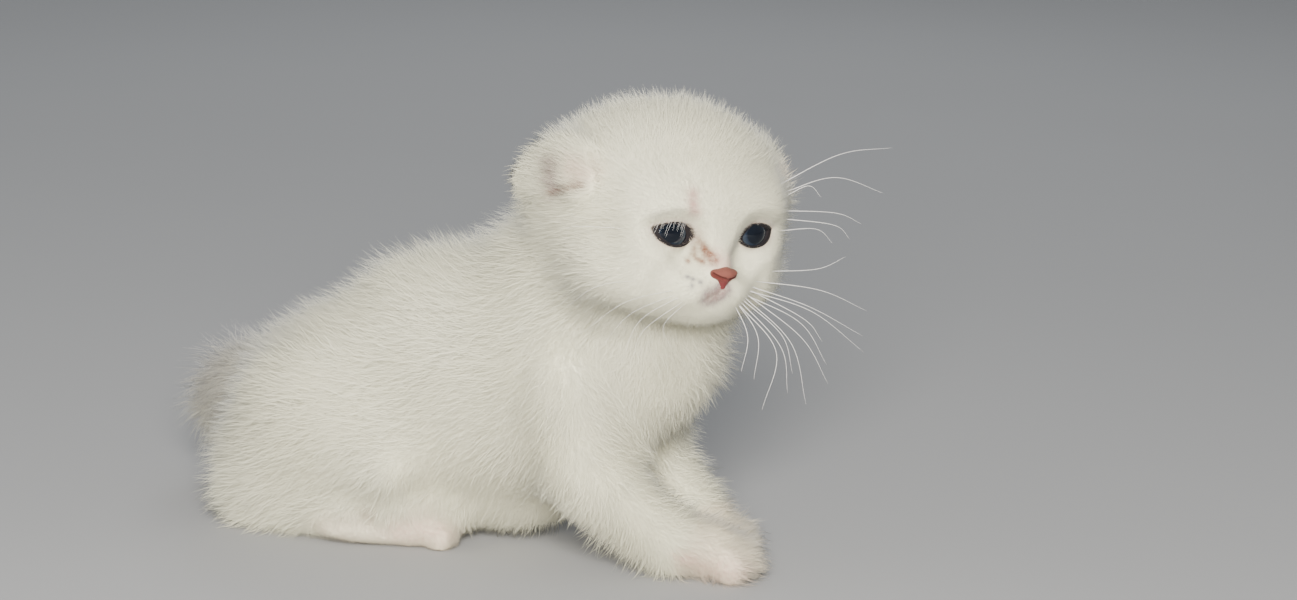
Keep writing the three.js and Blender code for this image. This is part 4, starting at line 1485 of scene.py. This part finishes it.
def lashes(side, material):
    """Fine white hairs from above the upper lid, hanging over the outer half of the eye."""
    upper = almond(side)[: len(almond(side)) // 2]
    outward = SIDES[side]
    parts = []
    t = np.linspace(0, 1, 10)
    for share in np.linspace(0.3, 0.92, LASHES[side]):
        y, z = upper[int(share * (len(upper) - 1))]
        y, z = y + rng.normal(0, 0.3), z + 1.1 + rng.normal(0, 0.4)
        reach = rng.uniform(*LASH_REACH) * (1 if side == "right" else LEFT_LASH_SHARE)
        flat = np.array([y, z]) + np.array(LASH_FALL) * reach * (outward * (0.25 + 0.6 * share), 1)
        height = np.sqrt(np.maximum(LID_RADIUS**2 - (flat[0] ** 2).sum(), 1)) + np.array(LASH_HEIGHT)
        line = through(np.column_stack([height, flat]), t)
        parts.append(tube(from_head(from_eye(side, line)), LASH_RADIUS * (1 - LASH_TAPER * t), sides=4))
    obj = new_mesh(f"lashes_{side}", *joined_meshes(parts), [material])
    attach(obj, "root")


# Nose leather: a broad top with a wing at each side, a narrow foot, and two comma nostrils

NOSE_MIDDLE = 1.0  # the nose points a little to the kitten's left
NOSTRIL = [(31.4, 0.7, -9.9), (30.8, 1.9, -9.4), (30.0, 3.4, -8.8)]
# The last of these is how far the painted shade of each nostril spreads
NOSTRIL_RADIUS, NOSTRIL_BLEND, NOSTRIL_SHADE_WIDTH = 0.42, 0.45, 0.55
nose_body = joined(
    [
        lump([29.5, 0, -8.8], [2.4, 3.2, 1.3]),
        *both(lambda s: lump([29.0, 2.6 * s, -8.7], [1.8, 1.3, 1.1])),
        limb([29.3, 0, -9.3], [29.1, 0.1, -11.9], 2.3, 0.8),
    ],
    1.1,
)


def beyond_nostril(side, p):
    return near_line(p, np.array(NOSTRIL) * (1, SIDES[side], 1))


def nose_form(p):
    p = p - (0, NOSE_MIDDLE, 0)
    value = nose_body(p)
    for side in SIDES:
        value = -soft_min(-value, beyond_nostril(side, p) - NOSTRIL_RADIUS, NOSTRIL_BLEND)
    return value


def nose_leather(material):
    points, triangles = rayed(nose_form, np.array([28.8, NOSE_MIDDLE, -9]), 8, 6)
    obj = new_mesh("nose_leather", points, triangles, [material])
    p = to_head(points) - (0, NOSE_MIDDLE, 0)
    away = np.minimum(*(beyond_nostril(side, p) for side in SIDES))
    # Painted shade in and round each nostril
    set_values(obj.data, "nostril", falloff(away, NOSTRIL_SHADE_WIDTH))
    set_values(obj.data, "foot", ramp(-p[:, 2], 8.6, 11.5))
    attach(obj, "root")
    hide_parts("nose")


# The stage: a pale floor, soft lights, and the camera at the photograph's place

FLOOR_RADIUS, FLOOR_SIDES = 4000, 96


def make_floor(material):
    angle = np.arange(FLOOR_SIDES) * 2 * math.pi / FLOOR_SIDES
    rim = np.column_stack([np.cos(angle), np.sin(angle), angle * 0]) * FLOOR_RADIUS
    k = np.arange(FLOOR_SIDES)
    faces = np.column_stack([k, (k + 1) % FLOOR_SIDES, np.full(FLOOR_SIDES, FLOOR_SIDES)])
    floor = new_mesh("floor", np.concatenate([rim, [[0, 0, 0]]]), faces, [material])


# Each light's place and what it is aimed at, in metres, its size, power and colour
LIGHTS = {
    "key": ((0.40, -0.84, 0.46), (0.03, 0, 0.05), 0.45, 27, (1.0, 0.97, 0.92)),
    "fill": ((-0.9, -0.7, 0.5), (0, 0, 0.05), 0.7, 1, (0.88, 0.94, 1.0)),
    "rim": ((-0.3, 0.9, 0.8), (0, 0, 0.05), 0.5, 3, (0.92, 0.96, 1.0)),
    "spark": ((0.5, -1.0, 0.8), (0.05, 0, 0.09), 0.08, 0.8, (1, 1, 1)),
}
MIRRORED = "spark"  # the only light that the eyes mirror
WORLD_COLOUR, WORLD_STRENGTH = (0.80, 0.84, 0.90, 1), 0.42


def soft_light(name, place, aim, size, power, colour):
    data = bpy.data.lights.new(name, "AREA")
    data.shape = "DISK"
    data.size = size
    data.energy = power
    data.color = colour
    light = bpy.data.objects.new(name, data)
    light.location = place
    light.rotation_euler = (Vector(aim) - Vector(place)).to_track_quat("-Z", "Y").to_euler()
    light.visible_glossy = name == MIRRORED
    bpy.context.scene.collection.objects.link(light)


CAMERA_AZIMUTH, CAMERA_ELEVATION, CAMERA_ROLL = 24, 13, 1.5  # degrees
CAMERA_DISTANCE = 820
MM_PER_PIXEL = 0.255  # at the kitten, in the photograph's own pixels
PHOTO_WIDTH = 1297
SENSOR_WIDTH = 36
AIM_FROM_HEAD = (-1.44, -3.32, -19.67)  # from the head's middle to what the camera is aimed at


def make_camera():
    a, e, roll = (math.radians(x) for x in (CAMERA_AZIMUTH, CAMERA_ELEVATION, CAMERA_ROLL))
    right = Vector((math.cos(a), math.sin(a), 0))
    back = Vector((math.sin(a) * math.cos(e), -math.cos(a) * math.cos(e), math.sin(e)))
    up = back.cross(right)
    tilted = right * math.cos(roll) + up * math.sin(roll)
    upward = up * math.cos(roll) - right * math.sin(roll)
    data = bpy.data.cameras.new("camera")
    data.sensor_width = SENSOR_WIDTH
    data.lens = SENSOR_WIDTH * CAMERA_DISTANCE / (MM_PER_PIXEL * PHOTO_WIDTH)
    data.clip_start, data.clip_end = 0.01, 50
    camera = bpy.data.objects.new("camera", data)
    aim = Vector(HEAD_CENTRE + AIM_FROM_HEAD) * MM
    axes = Matrix((tilted, upward, back)).transposed().to_4x4()
    camera.matrix_world = Matrix.Translation(aim + back * CAMERA_DISTANCE * MM) @ axes
    bpy.context.scene.collection.objects.link(camera)
    bpy.context.scene.camera = camera


def make_world():
    world = bpy.data.worlds.new("studio")
    world.use_nodes = True
    background = world.node_tree.nodes["Background"]
    background.inputs["Color"].default_value = WORLD_COLOUR
    background.inputs["Strength"].default_value = WORLD_STRENGTH
    bpy.context.scene.world = world


# Everything together

UNWRAP_ANGLE, UNWRAP_MARGIN = 70, 0.002


def unwrapped(obj):
    """The unwrap of the skin's own shape, one place for each corner of each triangle."""
    bpy.context.view_layer.objects.active = obj
    obj.select_set(True)
    bpy.ops.object.mode_set(mode="EDIT")
    bpy.ops.mesh.select_all(action="SELECT")
    bpy.ops.uv.smart_project(angle_limit=math.radians(UNWRAP_ANGLE), island_margin=UNWRAP_MARGIN)
    bpy.ops.object.mode_set(mode="OBJECT")
    layer = obj.data.uv_layers.active
    layer.name = "OFBake"
    return rows_of(layer.uv, "vector", 2)


def make_kitten():
    points, triangles = skin_surface()
    coat = coat_material()
    skin = new_mesh("skin", points, triangles, [skin_material()])
    uv = unwrapped(skin)
    marks = marks_of(points, shares_of(points, triangles, 6))
    set_colours(skin.data, "marks", marks)
    set_values(skin.data, "lid", 1 - ramp(beyond_lids(points), 0.1, 0.5))
    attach(skin, "root")
    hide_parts(*FLESH)
    coat_pieces(grow_coat(points, triangles, uv), coat)


make_kitten()
eye = eye_material()
lid = leather_material("lid", LID, LID_DARK, 0.45)
for side in SIDES:
    eyeball(side, eye)
    lid_rim(side, lid)
whisker = leather_material("whisker", WHISKER, WHISKER_DARK, 0.4)
for side in SIDES:
    whiskers(side, whisker)
    lashes(side, whisker)
nose_leather(leather_material("nose_leather", NOSE, NOSE_DARK, 0.5, NOSE_PARTS))
make_floor(floor_material())
make_world()
for name, settings in LIGHTS.items():
    soft_light(name, *settings)
make_camera()
